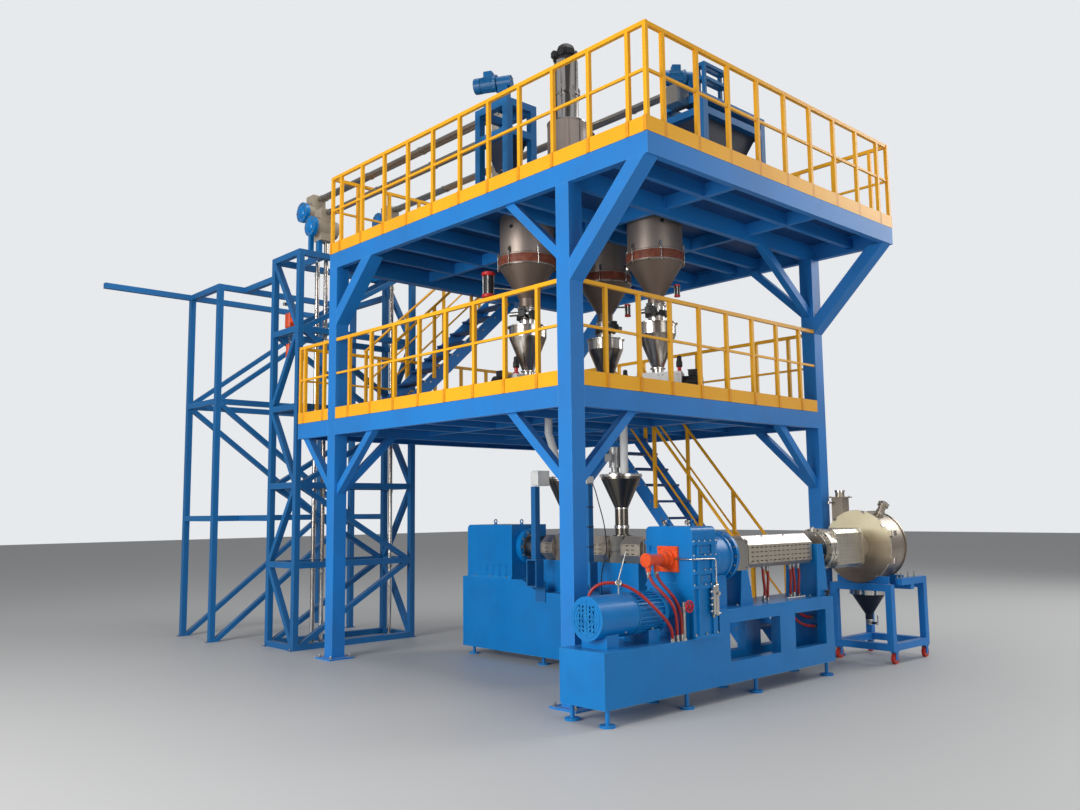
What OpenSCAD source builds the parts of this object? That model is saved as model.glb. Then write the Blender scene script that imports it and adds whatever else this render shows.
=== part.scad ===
/* [Columns] */
// Distance between column centres along the discharge line
bay_x = 4350; // [4250:10:4500]
// Distance between column centres along the kneader line
bay_y = 4280; // [4200:10:4400]
// Width of the square columns
col_w = 180; // [160:5:200]
// Wall thickness of the columns
col_wall = 8; // [5:1:12]
// Side of the column base plates
base_w = 350; // [330:10:400]
// Thickness of the column base plates
base_t = 20; // [15:1:30]
// Spacing of the anchor holes in a base plate
anchor_pitch = 270; // [250:5:290]
// Diameter of the anchor holes
anchor_d = 22; // [16:1:26]

/* [Decks] */
// Top of the lower deck beams above the floor
deck1_z = 3000; // [2900:10:3100]
// Top of the upper deck beams above the floor
deck2_z = 5175; // [5100:5:5250]
// Depth of the deck edge beams
beam_h = 200; // [180:5:220]
// Width of the deck edge beams
beam_w = 75; // [60:5:80]
// Web thickness of the deck beams
beam_web = 9; // [6:1:12]
// Flange thickness of the deck beams
beam_flange = 11; // [8:1:14]
// Depth of the joists
joist_h = 140; // [120:5:160]
// Width of the joists
joist_w = 60; // [50:5:70]
// Greatest distance between joists
joist_pitch = 720; // [600:10:800]
// Thickness of the deck plates
plate_t = 6; // [4:1:10]
// How far the upper deck reaches out in front of the near columns
overhang = 1010; // [950:10:1050]
// How far the lower deck reaches out behind the far columns
extension = 780; // [720:10:820]

/* [Braces] */
// Width of the slim knee braces
brace_w = 90; // [60:5:110]
// Reach of the slim knee braces along the beam
brace_reach = 800; // [700:10:850]
// Drop of the slim knee braces down the column
brace_drop = 750; // [650:10:800]
// Depth of the wide braces under the overhang
wide_w = 150; // [120:5:170]

/* [Railings] */
// Height of the railings above the deck beams
rail_h = 1050; // [1000:10:1100]
// Side of the square posts and top rails
post_w = 40; // [30:2:50]
// Depth of the thin middle rail
mid_rail_w = 26; // [20:1:36]
// Height of the middle rail above the deck beams
mid_rail_z = 600; // [500:10:700]
// Distance between railing posts
post_pitch = 500; // [450:10:550]
// Height of the toe board
toe_h = 145; // [100:5:160]
// Thickness of the toe board
toe_t = 5; // [3:1:8]

/* [Stairs] */
// Width of the stairs over their stringers
stair_w = 640; // [560:10:680]
// Height of one step
riser = 215; // [190:5:230]
// Depth of the treads
tread_d = 200; // [170:5:220]
// Thickness of the treads
tread_t = 30; // [20:1:40]
// Thickness of the stringers
stringer_t = 12; // [8:1:16]
// Depth of the stringers
stringer_h = 180; // [150:5:200]
// Length of the lower stair on plan
run1 = 2520; // [2450:10:2600]
// Length of the upper stair on plan
run2 = 2415; // [2350:10:2480]
// Place of the lower stair along the discharge line
stair1_x = 2985; // [2950:5:3020]
// Top end of the lower stair
stair1_y = 2400; // [2360:5:2440]
// Foot of the upper stair
stair2_x = 750; // [700:10:800]
// Height of the handrails above the steps
handrail_h = 950; // [900:10:1000]
// Diameter of the handrail tubes
handrail_d = 38; // [30:1:44]

/* [Dosing] */
// Outer diameter of the day hoppers
hopper_d = 630; // [580:5:660]
// Wall thickness of the hoppers and vessels
shell_t = 5; // [3:1:8]
// Height of the clamp bands
band_h = 100; // [80:5:120]
// How far a clamp band stands out from its hopper
band_t = 14; // [8:1:20]
// Top of the clamp bands above the floor
band_z = 4700; // [4650:10:4750]
// Height of the day hopper cones
hopper_cone_h = 370; // [320:10:420]
// Diameter of the day hopper outlets
outlet_d = 190; // [160:5:220]
// Place of the front day hopper along the discharge line
hopper_front_x = 1850; // [1800:5:1900]
// Place of the front day hopper along the kneader line
hopper_front_y = 470; // [455:5:490]
// Place of the rear left day hopper along the discharge line
hopper_left_x = 850; // [835:5:865]
// Place of the rear middle day hopper along the discharge line
hopper_middle_x = 2150; // [2120:5:2180]
// Place of the rear day hoppers along the kneader line
hopper_rear_y = 1550; // [1540:5:1580]
// Top diameter of the feeder hoppers
feeder_d = 430; // [400:5:460]
// Top of the feeder hoppers above the lower deck
feeder_h = 900; // [860:10:940]
// Height of the feeder housings above the lower deck
feeder_base_h = 330; // [300:10:360]
// Length of the feeder housings
feeder_l = 560; // [540:5:580]
// Width of the feeder housings
feeder_w = 240; // [220:5:260]

/* [Kneader] */
// Axis of the kneader along the discharge line
kn_x = 1700; // [1680:5:1720]
// Height of the kneader axis
kn_z = 1370; // [1350:5:1390]
// Width of the kneader base
kn_base_w = 600; // [560:10:640]
// Top of the kneader base
kn_base_z = 980; // [960:5:1000]
// Discharge end of the kneader barrel
kn_y0 = 520; // [500:5:540]
// Drive end of the kneader barrel
kn_y1 = 2120; // [2100:5:2140]
// Near face of the kneader gearbox housing
kn_drive_y = 2500; // [2480:5:2520]
// Length of the kneader gearbox housing
kn_drive_l = 870; // [820:10:900]
// Height of the kneader gearbox housing
kn_drive_h = 660; // [600:10:700]
// Diameter of the kneader barrel
kn_barrel_d = 210; // [190:5:220]
// Width across the kneader barrel covers
kn_cover_w = 300; // [280:5:320]
// Diameter of the feed hopper rims
feed_d = 450; // [420:5:480]
// Height of the feed hopper rims
feed_z = 2200; // [2160:10:2240]
// Height of the feed hopper cones
feed_cone_h = 370; // [340:10:400]
// Place of the front feed hopper along the kneader line
feed_front_y = 930; // [900:5:960]
// Place of the rear feed hopper along the kneader line
feed_rear_y = 1820; // [1790:5:1850]

/* [Discharge line] */
// Axis of the discharge screw along the kneader line
ds_y = -530; // [-540:5:-525]
// Height of the discharge screw axis
ds_z = 1345; // [1330:5:1360]
// Width of the discharge frame
ds_w = 540; // [500:10:560]
// Top of the discharge frame
ds_top = 850; // [830:5:870]
// Left end of the discharge frame
ds_x0 = 1150; // [1140:5:1160]
// Right end of the discharge frame
ds_x1 = 3210; // [3200:5:3230]
// Left face of the gearbox
gear_x = 750; // [730:5:760]
// Thickness of the gearbox
gear_l = 360; // [340:5:380]
// Width of the gearbox
gear_w = 600; // [560:10:620]
// Height of the gearbox
gear_h = 1030; // [1000:10:1050]
// Diameter of the discharge barrel
ds_barrel_d = 180; // [160:5:200]
// Width across the discharge barrel cover
ds_cover_w = 300; // [280:5:310]
// Height of the discharge barrel cover
ds_cover_h = 320; // [300:5:330]
// Diameter of the drive motor
motor_d = 380; // [360:5:400]
// Height of the drive motor axis
motor_z = 880; // [870:5:890]

/* [Pelletizer] */
// Front face of the pelletizer hood
hood_x = 4280; // [4270:5:4290]
// Diameter of the pelletizer hood
hood_d = 860; // [820:5:864]
// Depth of the pelletizer hood
hood_l = 420; // [380:10:460]
// Gap between the die and the hood when closed
hood_gap = 6; // [5:0.5:8]
// Diameter of the caster wheels
wheel_d = 125; // [110:5:130]
// Width of the caster wheels
wheel_w = 38; // [30:1:44]
// Distance between the trolley's caster axles
wheelbase = 760; // [740:5:780]
// Front row of the casters
caster_y = -920; // [-925:5:-915]

/* [Feed tower] */
// Width of the feed tower along the discharge line
tower_w = 1950; // [1900:10:2000]
// Depth of the feed tower along the kneader line
tower_d = 800; // [760:10:840]
// Height of the feed tower
tower_h = 5450; // [5350:10:5500]
// Gap between the lower deck and the feed tower
tower_gap = 40; // [20:5:60]
// Width of the tower's members
lattice_w = 80; // [60:5:100]
// Diameter of the lift and conveyor tubes
lift_d = 60; // [50:2:70]
// Place of the front row of the hoist frame along the kneader line
hoist_y = 6860; // [6700:10:7000]
// Distance between the rows of the hoist frame
hoist_d = 1080; // [1000:10:1150]
// Height of the hoist frame
hoist_h = 5200; // [5100:10:5300]

/* [Hidden] */

blue = [0.10, 0.42, 0.78];
machine_blue = [0.02, 0.42, 0.70];
yellow = [0.96, 0.68, 0.08];
steel = [0.72, 0.71, 0.68];
orange = [0.95, 0.32, 0.12];

deck_x0 = -col_w / 2;
deck_x1 = bay_x + col_w / 2;
deck1_y0 = -col_w / 2;
deck1_y1 = bay_y + col_w / 2 + extension;
deck2_y0 = -col_w / 2 - overhang;
deck2_y1 = bay_y + col_w / 2;
walk1_z = deck1_z + plate_t;
walk2_z = deck2_z + plate_t;
column_places = [[0, 0], [0, bay_y], [bay_x, 0], [bay_x, bay_y]];

hopper_places = [
  [hopper_front_x, hopper_front_y], [hopper_left_x, hopper_rear_y], [hopper_middle_x, hopper_rear_y]
];
feeder_turns = [120, 0, 132];
drop_reach = [410, 310, 552];
well_margin = handrail_d + 12;
well = [
  [stair1_x - well_margin, 700], [stair1_x + stair_w + well_margin, stair1_y]
];
inlet_clear = 8;
hopper_clear = 45;

function evenly(from, to, pitch) =
  let (n = ceil((to - from) / pitch)) [for (i = [1:n - 1]) from + (to - from) * i / n];

module block(from, to) {
  translate(from) cube(to - from);
}

module rod_x(d, l, fn) {
  rotate([0, 90, 0]) cylinder(d = d, h = l, $fn = fn);
}

module channel_x(l, h, w) {
  rotate([90, 0, 90])
    linear_extrude(l)
      polygon([
        [0, 0], [w, 0], [w, beam_flange], [beam_web, beam_flange],
        [beam_web, h - beam_flange], [w, h - beam_flange], [w, h], [0, h]
      ]);
}

module channel_y(l, h, w) {
  mirror([1, -1, 0]) channel_x(l, h, w);
}

module column_prisms(z0, z1) {
  for (p = column_places)
    translate([p.x - col_w / 2, p.y - col_w / 2, z0]) cube([col_w, col_w, z1 - z0]);
}

// Columns

module columns() {
  color(blue)
    for (p = column_places)
      translate([p.x, p.y, base_t])
        linear_extrude(deck2_z - beam_h - base_t)
          difference() {
            square(col_w, center = true);
            square(col_w - 2 * col_wall, center = true);
          }
}

module column_base_plates() {
  color(blue)
    for (p = column_places)
      translate([p.x, p.y, 0])
        difference() {
          translate([-base_w / 2, -base_w / 2, 0]) cube([base_w, base_w, base_t]);
          for (sx = [-1, 1], sy = [-1, 1])
            translate([sx * anchor_pitch / 2, sy * anchor_pitch / 2, -1])
              cylinder(d = anchor_d, h = base_t + 2, $fn = 32);
        }
}

// Decks: an edge of channels, beams between the columns and joists across

module deck_edge(y0, y1, top) {
  lx = deck_x1 - deck_x0;
  translate([deck_x0, y0, top - beam_h]) channel_x(lx, beam_h, beam_w);
  translate([deck_x0, y1, top - beam_h]) mirror([0, 1, 0]) channel_x(lx, beam_h, beam_w);
  translate([deck_x0, y0, top - beam_h]) channel_y(y1 - y0, beam_h, beam_w);
  translate([deck_x1, y0, top - beam_h]) mirror([1, 0, 0]) channel_y(y1 - y0, beam_h, beam_w);
}

module joist(y, top) {
  translate([deck_x0 + beam_web / 2, y - joist_w / 2, top - joist_h])
    channel_x(deck_x1 - deck_x0 - beam_web, joist_h, joist_w);
}

module main_beam(y, top) {
  translate([deck_x0 + beam_web / 2, y - beam_w / 2, top - beam_h])
    channel_x(deck_x1 - deck_x0 - beam_web, beam_h, beam_w);
}

module long_beam(x, y0, y1, top) {
  translate([x - joist_w / 2, y0, top - joist_h])
    channel_y(y1 - y0, joist_h, joist_w);
}

module lower_deck_frame() {
  trim = joist_w;
  color(blue)
    difference() {
      union() {
        difference() {
          union() {
            for (y = evenly(0, bay_y, joist_pitch))
              joist(y, deck1_z);
            main_beam(bay_y, deck1_z);
            for (x = [bay_x / 3, bay_x * 2 / 3 - joist_w])
              long_beam(x, deck1_y0 + beam_web / 2, deck1_y1 - beam_web / 2, deck1_z);
          }
          block(
            [well[0].x - trim / 2, well[0].y - trim / 2, deck1_z - beam_h],
            [well[1].x + trim / 2, well[1].y + trim / 2, deck1_z + 1]
          );
        }
        difference() {
          block(
            [well[0].x - trim, well[0].y - trim, deck1_z - joist_h],
            [well[1].x + trim, well[1].y + trim, deck1_z]
          );
          block(
            [well[0].x, well[0].y, deck1_z - beam_h],
            [well[1].x, well[1].y, deck1_z + 1]
          );
        }
        deck_edge(deck1_y0, deck1_y1, deck1_z);
      }
      column_prisms(deck1_z - beam_h - 1, deck1_z + 1);
    }
}

module lower_deck_plate() {
  color([0.35, 0.40, 0.45])
    difference() {
      block([deck_x0, deck1_y0, deck1_z], [deck_x1, deck1_y1, walk1_z]);
      column_prisms(deck1_z - 1, walk1_z + 1);
      block([well[0].x, well[0].y, deck1_z - 1], [well[1].x, well[1].y, walk1_z + 1]);
      for (p = drop_places)
        translate([p.x, p.y, deck1_z - 1])
          cylinder(d = drop_d + 2 * inlet_clear, h = plate_t + 2, $fn = 48);
    }
}

joist_off = hopper_d / 2 + hopper_clear;
upper_joists = concat(
  [(deck2_y0) / 2],
  [hopper_front_y + joist_off, hopper_rear_y - joist_off, hopper_rear_y + joist_off],
  evenly(hopper_rear_y + joist_off, bay_y, joist_pitch)
);

module upper_deck_frame() {
  color(blue) {
    for (y = upper_joists)
      joist(y, deck2_z);
    main_beam(0, deck2_z);
    main_beam(bay_y, deck2_z);
    for (x = [bay_x / 3, bay_x * 2 / 3 + joist_w])
      difference() {
        long_beam(x, deck2_y0 + beam_web / 2, deck2_y1 - beam_web / 2, deck2_z);
        for (p = hopper_places)
          translate([p.x, p.y, deck2_z - beam_h])
            cylinder(d = hopper_d + 2 * inlet_clear, h = beam_h + 1, $fn = 64);
      }
    deck_edge(deck2_y0, deck2_y1, deck2_z);
  }
}

module upper_deck_plate() {
  color([0.35, 0.40, 0.45])
    difference() {
      block([deck_x0, deck2_y0, deck2_z], [deck_x1, deck2_y1, walk2_z]);
      for (p = hopper_places)
        translate([p.x, p.y, deck2_z - 1])
          cylinder(d = hopper_inlet_d, h = plate_t + 2, $fn = 48);
    }
}

// Knee braces: each is cut square to its column and to the beam above

module knee(reach, drop, w, t) {
  l = sqrt(reach * reach + drop * drop);
  translate([0, t / 2, 0])
    rotate([90, 0, 0])
      linear_extrude(t)
        polygon([
          [0, -drop], [reach, 0], [reach - w * l / drop, 0], [0, -drop + w * l / reach]
        ]);
}

module knee_at(place, turn, top, reach, drop, w, t) {
  translate([place.x, place.y, top - beam_h])
    rotate(turn)
      translate([col_w / 2, 0, 0])
        knee(reach, drop, w, t);
}

module lower_knee_braces() {
  far_reach = extension - beam_w;
  color(blue) {
    knee_at([0, 0], 0, deck1_z, brace_reach, brace_drop, brace_w, brace_w);
    knee_at([0, 0], 90, deck1_z, brace_reach, brace_drop, brace_w, brace_w);
    knee_at([bay_x, 0], 180, deck1_z, brace_reach, brace_drop, brace_w, brace_w);
    knee_at([bay_x, 0], 90, deck1_z, brace_reach, brace_drop, brace_w, brace_w);
    for (x = [0, bay_x]) {
      knee_at([x, bay_y], 90, deck1_z, far_reach, brace_drop, brace_w, brace_w);
      knee_at([x, bay_y], 270, deck1_z, brace_reach, brace_drop, brace_w, brace_w);
    }
    knee_at([0, bay_y], 0, deck1_z, brace_reach, brace_drop, brace_w, brace_w);
    knee_at([bay_x, bay_y], 180, deck1_z, brace_reach, brace_drop, brace_w, brace_w);
  }
}

module upper_knee_braces() {
  wide_reach = overhang - beam_w / 2;
  color(blue) {
    for (x = [0, bay_x])
      knee_at([x, 0], 270, deck2_z, wide_reach, wide_reach, wide_w, col_w);
    knee_at([0, 0], 90, deck2_z, brace_reach, brace_drop, brace_w, brace_w);
    knee_at([bay_x, 0], 90, deck2_z, brace_reach, brace_drop, brace_w, brace_w);
    knee_at([bay_x, 0], 180, deck2_z, brace_reach * 1.3, brace_drop, brace_w, brace_w);
    for (x = [0, bay_x])
      knee_at([x, bay_y], 270, deck2_z, brace_reach, brace_drop, wide_w, col_w);
  }
}

// Railings: a panel runs along X with its toe board on the line y = 0

module railing(l, start_post = false, end_post = false) {
  n = round((l - post_pitch) / post_pitch);
  margin = (l - n * post_pitch) / 2;
  top = rail_h - plate_t;
  posts = concat(
    start_post ? [0] : [],
    n < 1 ? [(l - post_w) / 2] : [for (i = [0:n]) margin + i * post_pitch - post_w / 2],
    end_post ? [l - post_w] : []
  );
  cube([l, toe_t, toe_h]);
  translate([0, toe_t, 0]) {
    for (x = posts)
      translate([x, 0, 0]) cube([post_w, post_w, top - post_w / 2]);
    translate([0, 0, top - post_w]) cube([l, post_w, post_w]);
    translate([0, (post_w - mid_rail_w) / 2, mid_rail_z - mid_rail_w])
      cube([l, mid_rail_w, mid_rail_w]);
  }
}

// The side panels carry the corner posts, and the front and back panels end against them.
corner = toe_t + post_w;

module left_panel(y0, y1, z, start_post, end_post) {
  translate([deck_x0, y0, z]) mirror([1, -1, 0]) railing(y1 - y0, start_post, end_post);
}

module right_panel(y0, y1, z, start_post, end_post) {
  translate([deck_x1, y0, z]) rotate(90) railing(y1 - y0, start_post, end_post);
}

module lower_side_railings() {
  color(yellow) {
    left_panel(col_w / 2, bay_y - col_w / 2, walk1_z);
    left_panel(bay_y + col_w / 2, deck1_y1, walk1_z, false, true);
    right_panel(col_w / 2, bay_y - col_w / 2, walk1_z);
    right_panel(bay_y + col_w / 2, deck1_y1, walk1_z, false, true);
  }
}

module lower_end_railings() {
  color(yellow) {
    translate([col_w / 2, deck1_y0, walk1_z]) railing(bay_x - col_w);
    translate([deck_x0 + corner, deck1_y1, walk1_z])
      mirror([0, 1, 0])
        railing(deck_x1 - deck_x0 - 2 * corner);
  }
}

module upper_side_railings() {
  color(yellow) {
    left_panel(deck2_y0, deck2_y1, walk2_z, true, true);
    right_panel(deck2_y0, deck2_y1, walk2_z, true, true);
  }
}

module upper_end_railings() {
  gap0 = stair2_x + run2;
  gap1 = gap0 + landing_l;
  color(yellow) {
    translate([deck_x0 + corner, deck2_y0, walk2_z])
      railing(deck_x1 - deck_x0 - 2 * corner);
    translate([deck_x0 + corner, deck2_y1, walk2_z])
      mirror([0, 1, 0])
        railing(gap0 - deck_x0 - corner, false, true);
    translate([gap1, deck2_y1, walk2_z])
      mirror([0, 1, 0])
        railing(deck_x1 - gap1 - corner, true, false);
  }
}

// Stairs: a flight climbs along X from the origin, between two stringers

landing_l = 750;
landing_t = 60;

module stringer(run, rise) {
  l = sqrt(run * run + rise * rise);
  drop = stringer_h * l / run;
  back = stringer_h * l / rise;
  rotate([90, 0, 0])
    translate([0, 0, -stringer_t])
      linear_extrude(stringer_t)
        polygon([[0, 0], [back, 0], [run, rise - drop], [run, rise], [0, 0]]);
}

module stringers(run, rise) {
  for (y = [0, stair_w - stringer_t])
    translate([0, y, 0]) stringer(run, rise);
}

module treads(run, rise) {
  n = round(rise / riser);
  going = run / n;
  nose = 45;
  for (i = [1:n - 1])
    translate([i * going + nose - tread_d / 2, stringer_t, i * rise / n - tread_t])
      cube([tread_d, stair_w - 2 * stringer_t, tread_t]);
}

module lower_place() {
  translate([stair1_x, stair1_y - run1, 0]) mirror([1, -1, 0]) children();
}

module upper_place() {
  translate([stair2_x, deck2_y1 + stair2_gap, walk1_z]) children();
}

module stair_stringers() {
  color(blue) {
    lower_place() stringers(run1, deck1_z);
    upper_place() stringers(run2, deck2_z - walk1_z);
  }
}

module stair_treads() {
  color(blue) {
    lower_place() treads(run1, deck1_z);
    upper_place() treads(run2, deck2_z - walk1_z);
  }
}

module stair_landing() {
  color(blue)
    block(
      [stair2_x + run2, deck2_y1, deck2_z - landing_t],
      [stair2_x + run2 + landing_l, deck2_y1 + stair2_gap + stair_w, deck2_z]
    );
}

stair2_gap = 40;

module handrail(run, rise, lift) {
  angle = atan2(rise, run);
  l = sqrt(run * run + rise * rise);
  inset = 0.06;
  translate([run * inset, 0, rise * inset + lift])
    rotate([0, -angle, 0])
      rod_x(handrail_d, l * (1 - 2 * inset), 24);
  translate([run * inset, 0, rise * inset + lift / 2])
    rotate([0, -angle, 0])
      rod_x(mid_rail_w, l * (1 - 2 * inset), 20);
  for (s = [inset + 0.01, 0.36, 0.64, 0.99 - inset])
    translate([run * s - handrail_d / 2, -handrail_d / 2, rise * s - stringer_h / 2])
      cube([handrail_d, handrail_d, lift + stringer_h / 2]);
}

module handrail_pair(run, rise) {
  side = handrail_d / 2;
  for (y = [-side, stair_w + side])
    translate([0, y, 0]) handrail(run, rise, handrail_h);
}

module landing_guard() {
  side = handrail_d / 2;
  x0 = stair2_x + run2 + side;
  x1 = x0 + landing_l;
  y1 = deck2_y1 + stair2_gap + stair_w + side;
  for (p = [[x0, y1], [x0 + landing_l / 2, y1], [x1, y1], [x1, y1 - stair_w]])
    translate([p.x - side, p.y - side, deck2_z - landing_t])
      cube([handrail_d, handrail_d, handrail_h + landing_t]);
  for (rail = [[handrail_h, handrail_d], [handrail_h / 2, mid_rail_w]])
    translate([x1, y1, deck2_z + rail[0]]) {
      rotate([0, -90, 0]) cylinder(d = rail[1], h = landing_l, $fn = 24);
      rotate([90, 0, 0]) cylinder(d = rail[1], h = stair_w, $fn = 24);
    }
}

module stair_handrails() {
  color(yellow) {
    lower_place() handrail_pair(run1, deck1_z);
    upper_place() handrail_pair(run2, deck2_z - walk1_z);
    landing_guard();
  }
}

// Day hoppers: shells hung from the upper deck plate, each held by a clamp band

hopper_inlet_d = 200;
outlet_h = 110;
hopper_top = deck2_z;
rim_t = 10;
rim_w = 20;

module day_hopper() {
  r = hopper_d / 2;
  rr = r + rim_w;
  ro = outlet_d / 2;
  zc = band_z - band_h;
  z_out = zc - hopper_cone_h;
  rotate_extrude($fn = 96)
    polygon([
      [ro, z_out - outlet_h], [ro + rim_w, z_out - outlet_h], [ro + rim_w, z_out - outlet_h + rim_t],
      [ro, z_out - outlet_h + rim_t], [ro, z_out], [r, zc - rim_t], [rr, zc - rim_t], [rr, zc],
      [r, zc], [r, band_z], [rr, band_z], [rr, band_z + rim_t], [r, band_z + rim_t], [r, hopper_top],
      [hopper_inlet_d / 2, hopper_top], [hopper_inlet_d / 2, hopper_top - shell_t],
      [r - shell_t, hopper_top - shell_t], [r - shell_t, zc + 1],
      [ro - shell_t, z_out + 1], [ro - shell_t, z_out - outlet_h]
    ]);
}

module day_hoppers() {
  color(steel)
    for (p = hopper_places)
      translate([p.x, p.y, 0]) day_hopper();
}

module hopper_clamp_bands() {
  color([0.50, 0.22, 0.14])
    for (p = hopper_places)
      translate([p.x, p.y, band_z - band_h])
        rotate_extrude($fn = 96)
          translate([hopper_d / 2, 0]) square([band_t, band_h]);
}

// Feeders: a cone on a housing with its screw, and a motor at the far end

sleeve_z = band_z - band_h - hopper_cone_h - outlet_h;
feeder_top = walk1_z + feeder_h;
feeder_base_top = walk1_z + feeder_base_h;
feeder_neck_d = 130;
feeder_lid_t = 12;
drop_d = 90;
motor_small_d = 140;
motor_small_l = 220;
drop_places = [
  for (i = [0:2]) hopper_places[i] + drop_reach[i] * [cos(feeder_turns[i]), sin(feeder_turns[i])]
];

module feeder_hopper() {
  r = feeder_d / 2;
  rn = feeder_neck_d / 2;
  ro = outlet_d / 2;
  cone_z = feeder_top - 130;
  neck_z = feeder_base_top + 60;
  rotate_extrude($fn = 72)
    polygon([
      [rn, feeder_base_top], [rn, neck_z - rim_t], [rn + rim_w, neck_z - rim_t], [rn + rim_w, neck_z],
      [rn, neck_z], [r, cone_z], [r, feeder_top - rim_t], [r + rim_w, feeder_top - rim_t],
      [r + rim_w, feeder_top], [r, feeder_top], [ro, feeder_top + feeder_lid_t],
      [ro, sleeve_z - rim_t], [ro + rim_w, sleeve_z - rim_t], [ro + rim_w, sleeve_z],
      [ro - shell_t, sleeve_z], [ro - shell_t, feeder_top], [r - shell_t, feeder_top - shell_t],
      [r - shell_t, cone_z + 1], [rn - shell_t, neck_z + 1], [rn - shell_t, feeder_base_top]
    ]);
}

module feeder_hoppers() {
  color(steel)
    for (p = hopper_places)
      translate([p.x, p.y, 0]) feeder_hopper();
}

module feeder_housing(reach) {
  trough_d = 150;
  trough_z = feeder_base_top - 90;
  foot_h = 80;
  front = feeder_l / 2 - 60;
  block([-feeder_l / 2, -feeder_w / 2, walk1_z + foot_h], [front, feeder_w / 2, feeder_base_top]);
  translate([0, 0, trough_z])
    rod_x(trough_d, reach + drop_d / 2 + 30, 48);
  translate([reach, 0, walk1_z + foot_h])
    cylinder(d = drop_d + 20, h = trough_z - walk1_z - foot_h, $fn = 48);
  for (x = [-feeder_l / 2 + 40, front - 40], y = [-1, 1])
    translate([x, y * (feeder_w / 2 - 40), walk1_z])
      cylinder(d = 50, h = foot_h + 1, $fn = 24);
}

module feeder_housings() {
  color([0.85, 0.85, 0.83])
    for (i = [0:2])
      translate([hopper_places[i].x, hopper_places[i].y, 0])
        rotate(feeder_turns[i]) feeder_housing(drop_reach[i]);
}

// A finned motor along +Z from its flange: end shield, body with fins, and a slotted fan cowl.
module finned_motor(d, l, cowl_l, fins, fin_h, fin_t) {
  shield_t = 0.12 * d;
  slot = 0.05 * d;
  difference() {
    union() {
      cylinder(d = d, h = shield_t, $fn = 64);
      linear_extrude(l - cowl_l + 1)
        union() {
          circle(d = d - 2 * fin_h, $fn = 64);
          for (i = [0:fins - 1])
            rotate(i * 360 / fins) translate([0, -fin_t / 2]) square([d / 2 - 2, fin_t]);
        }
      translate([0, 0, l - cowl_l]) cylinder(d = d, h = cowl_l, $fn = 64);
    }
    for (i = [-2:2])
      translate([-d * 0.3, (2.2 * i - 0.5) * slot, l - slot]) cube([d * 0.6, slot, slot + 1]);
  }
}

module sleeve_valve(turn) {
  z = (feeder_top + feeder_lid_t + sleeve_z) / 2;
  ring_h = 56;
  ring_w = 34;
  ro = outlet_d / 2;
  rotate_extrude($fn = 72)
    translate([ro, z - ring_h / 2]) square([ring_w, ring_h]);
  rotate(turn)
    translate([ro + ring_w - 6, 0, z])
      rotate([0, 90, 0]) {
        cylinder(d = 40, h = 46, $fn = 32);
        translate([0, 0, 40]) cylinder(d = 76, h = 120, $fn = 48);
      }
}

module feeder_motors() {
  valve_turns = [-150, -120, 60];
  color([0.12, 0.12, 0.13])
    for (i = [0:2])
      translate([hopper_places[i].x, hopper_places[i].y, 0]) {
        translate([0, 0, feeder_base_top - 110])
          rotate(feeder_turns[i])
            translate([-feeder_l / 2, 0, 0])
              rotate([0, -90, 0])
                finned_motor(motor_small_d, motor_small_l, 60, 18, 9, 3);
        sleeve_valve(valve_turns[i]);
      }
}

module drop_pipe(p, end_z) {
  top = walk1_z + 80;
  translate([p.x, p.y, end_z])
    linear_extrude(top - end_z)
      difference() {
        circle(d = drop_d, $fn = 48);
        circle(d = drop_d - 2 * shell_t, $fn = 48);
      }
}

feed_lid_t = 12;
chute_z = 2700;
chute_end = [kn_x - 120, feed_rear_y - 40, feed_z + feed_lid_t];

module drop_pipes() {
  ends = [feed_z + feed_lid_t, chute_z, feed_z + feed_lid_t];
  color([0.88, 0.88, 0.86])
    for (i = [0:2])
      drop_pipe(drop_places[i], ends[i]);
}

// The left pipe leads to the rear feed hopper by a sloped tube, cut level at both ends.
module sloped_chute() {
  top = [drop_places[1].x, drop_places[1].y, chute_z];
  v = top - chute_end;
  l = norm(v);
  side = 800;
  color([0.88, 0.88, 0.86])
    intersection() {
      translate(chute_end)
        rotate([0, acos(v.z / l), atan2(v.y, v.x)])
          translate([0, 0, -drop_d])
            difference() {
              cylinder(d = drop_d, h = l + 2 * drop_d, $fn = 12);
              translate([0, 0, -1])
                cylinder(d = drop_d - 2 * shell_t, h = l + 2 * drop_d + 2, $fn = 12);
            }
      translate([chute_end.x - side, chute_end.y - side, chute_end.z])
        cube([2 * side, 2 * side, top.z - chute_end.z]);
    }
}

// Equipment on the upper deck

station_leg = 80;
station_boxes = [[[220, 1160], [660, 1720]], [[1820, -300], [3000, 300]]];
station_z = [6360, 6400];
hopper_rim_z = [5950, 6170];
hopper_out_z = [5620, 5560];
hopper_out_w = [160, 260];

module station_frame(box, legs_z, rim_z) {
  p = box[0];
  q = box[1];
  for (x = [p.x, q.x - station_leg], y = [p.y, q.y - station_leg])
    translate([x, y, walk2_z]) cube([station_leg, station_leg, legs_z - walk2_z]);
  for (z = [rim_z, legs_z - station_leg])
    translate([0, 0, z])
      linear_extrude(station_leg)
        difference() {
          translate(p) square(q - p);
          translate(p + [station_leg, station_leg])
            square(q - p - 2 * [station_leg, station_leg]);
        }
}

module station_frames() {
  color(blue) {
    for (i = [0, 1])
      station_frame(station_boxes[i], station_z[i], hopper_rim_z[i]);
  }
}

// A pyramid whose upright rim fits inside the ring of its station frame.
module pyramid(from, to, z, out_z, out_w, more) {
  rim = 12;
  c = (from + to) / 2;
  hull() {
    block([from.x, from.y, z], [to.x, to.y, z + station_leg + more]);
    block(
      [c.x - out_w / 2, c.y - out_w / 2, out_z - more],
      [c.x + out_w / 2, c.y + out_w / 2, out_z + rim]
    );
  }
}

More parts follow.
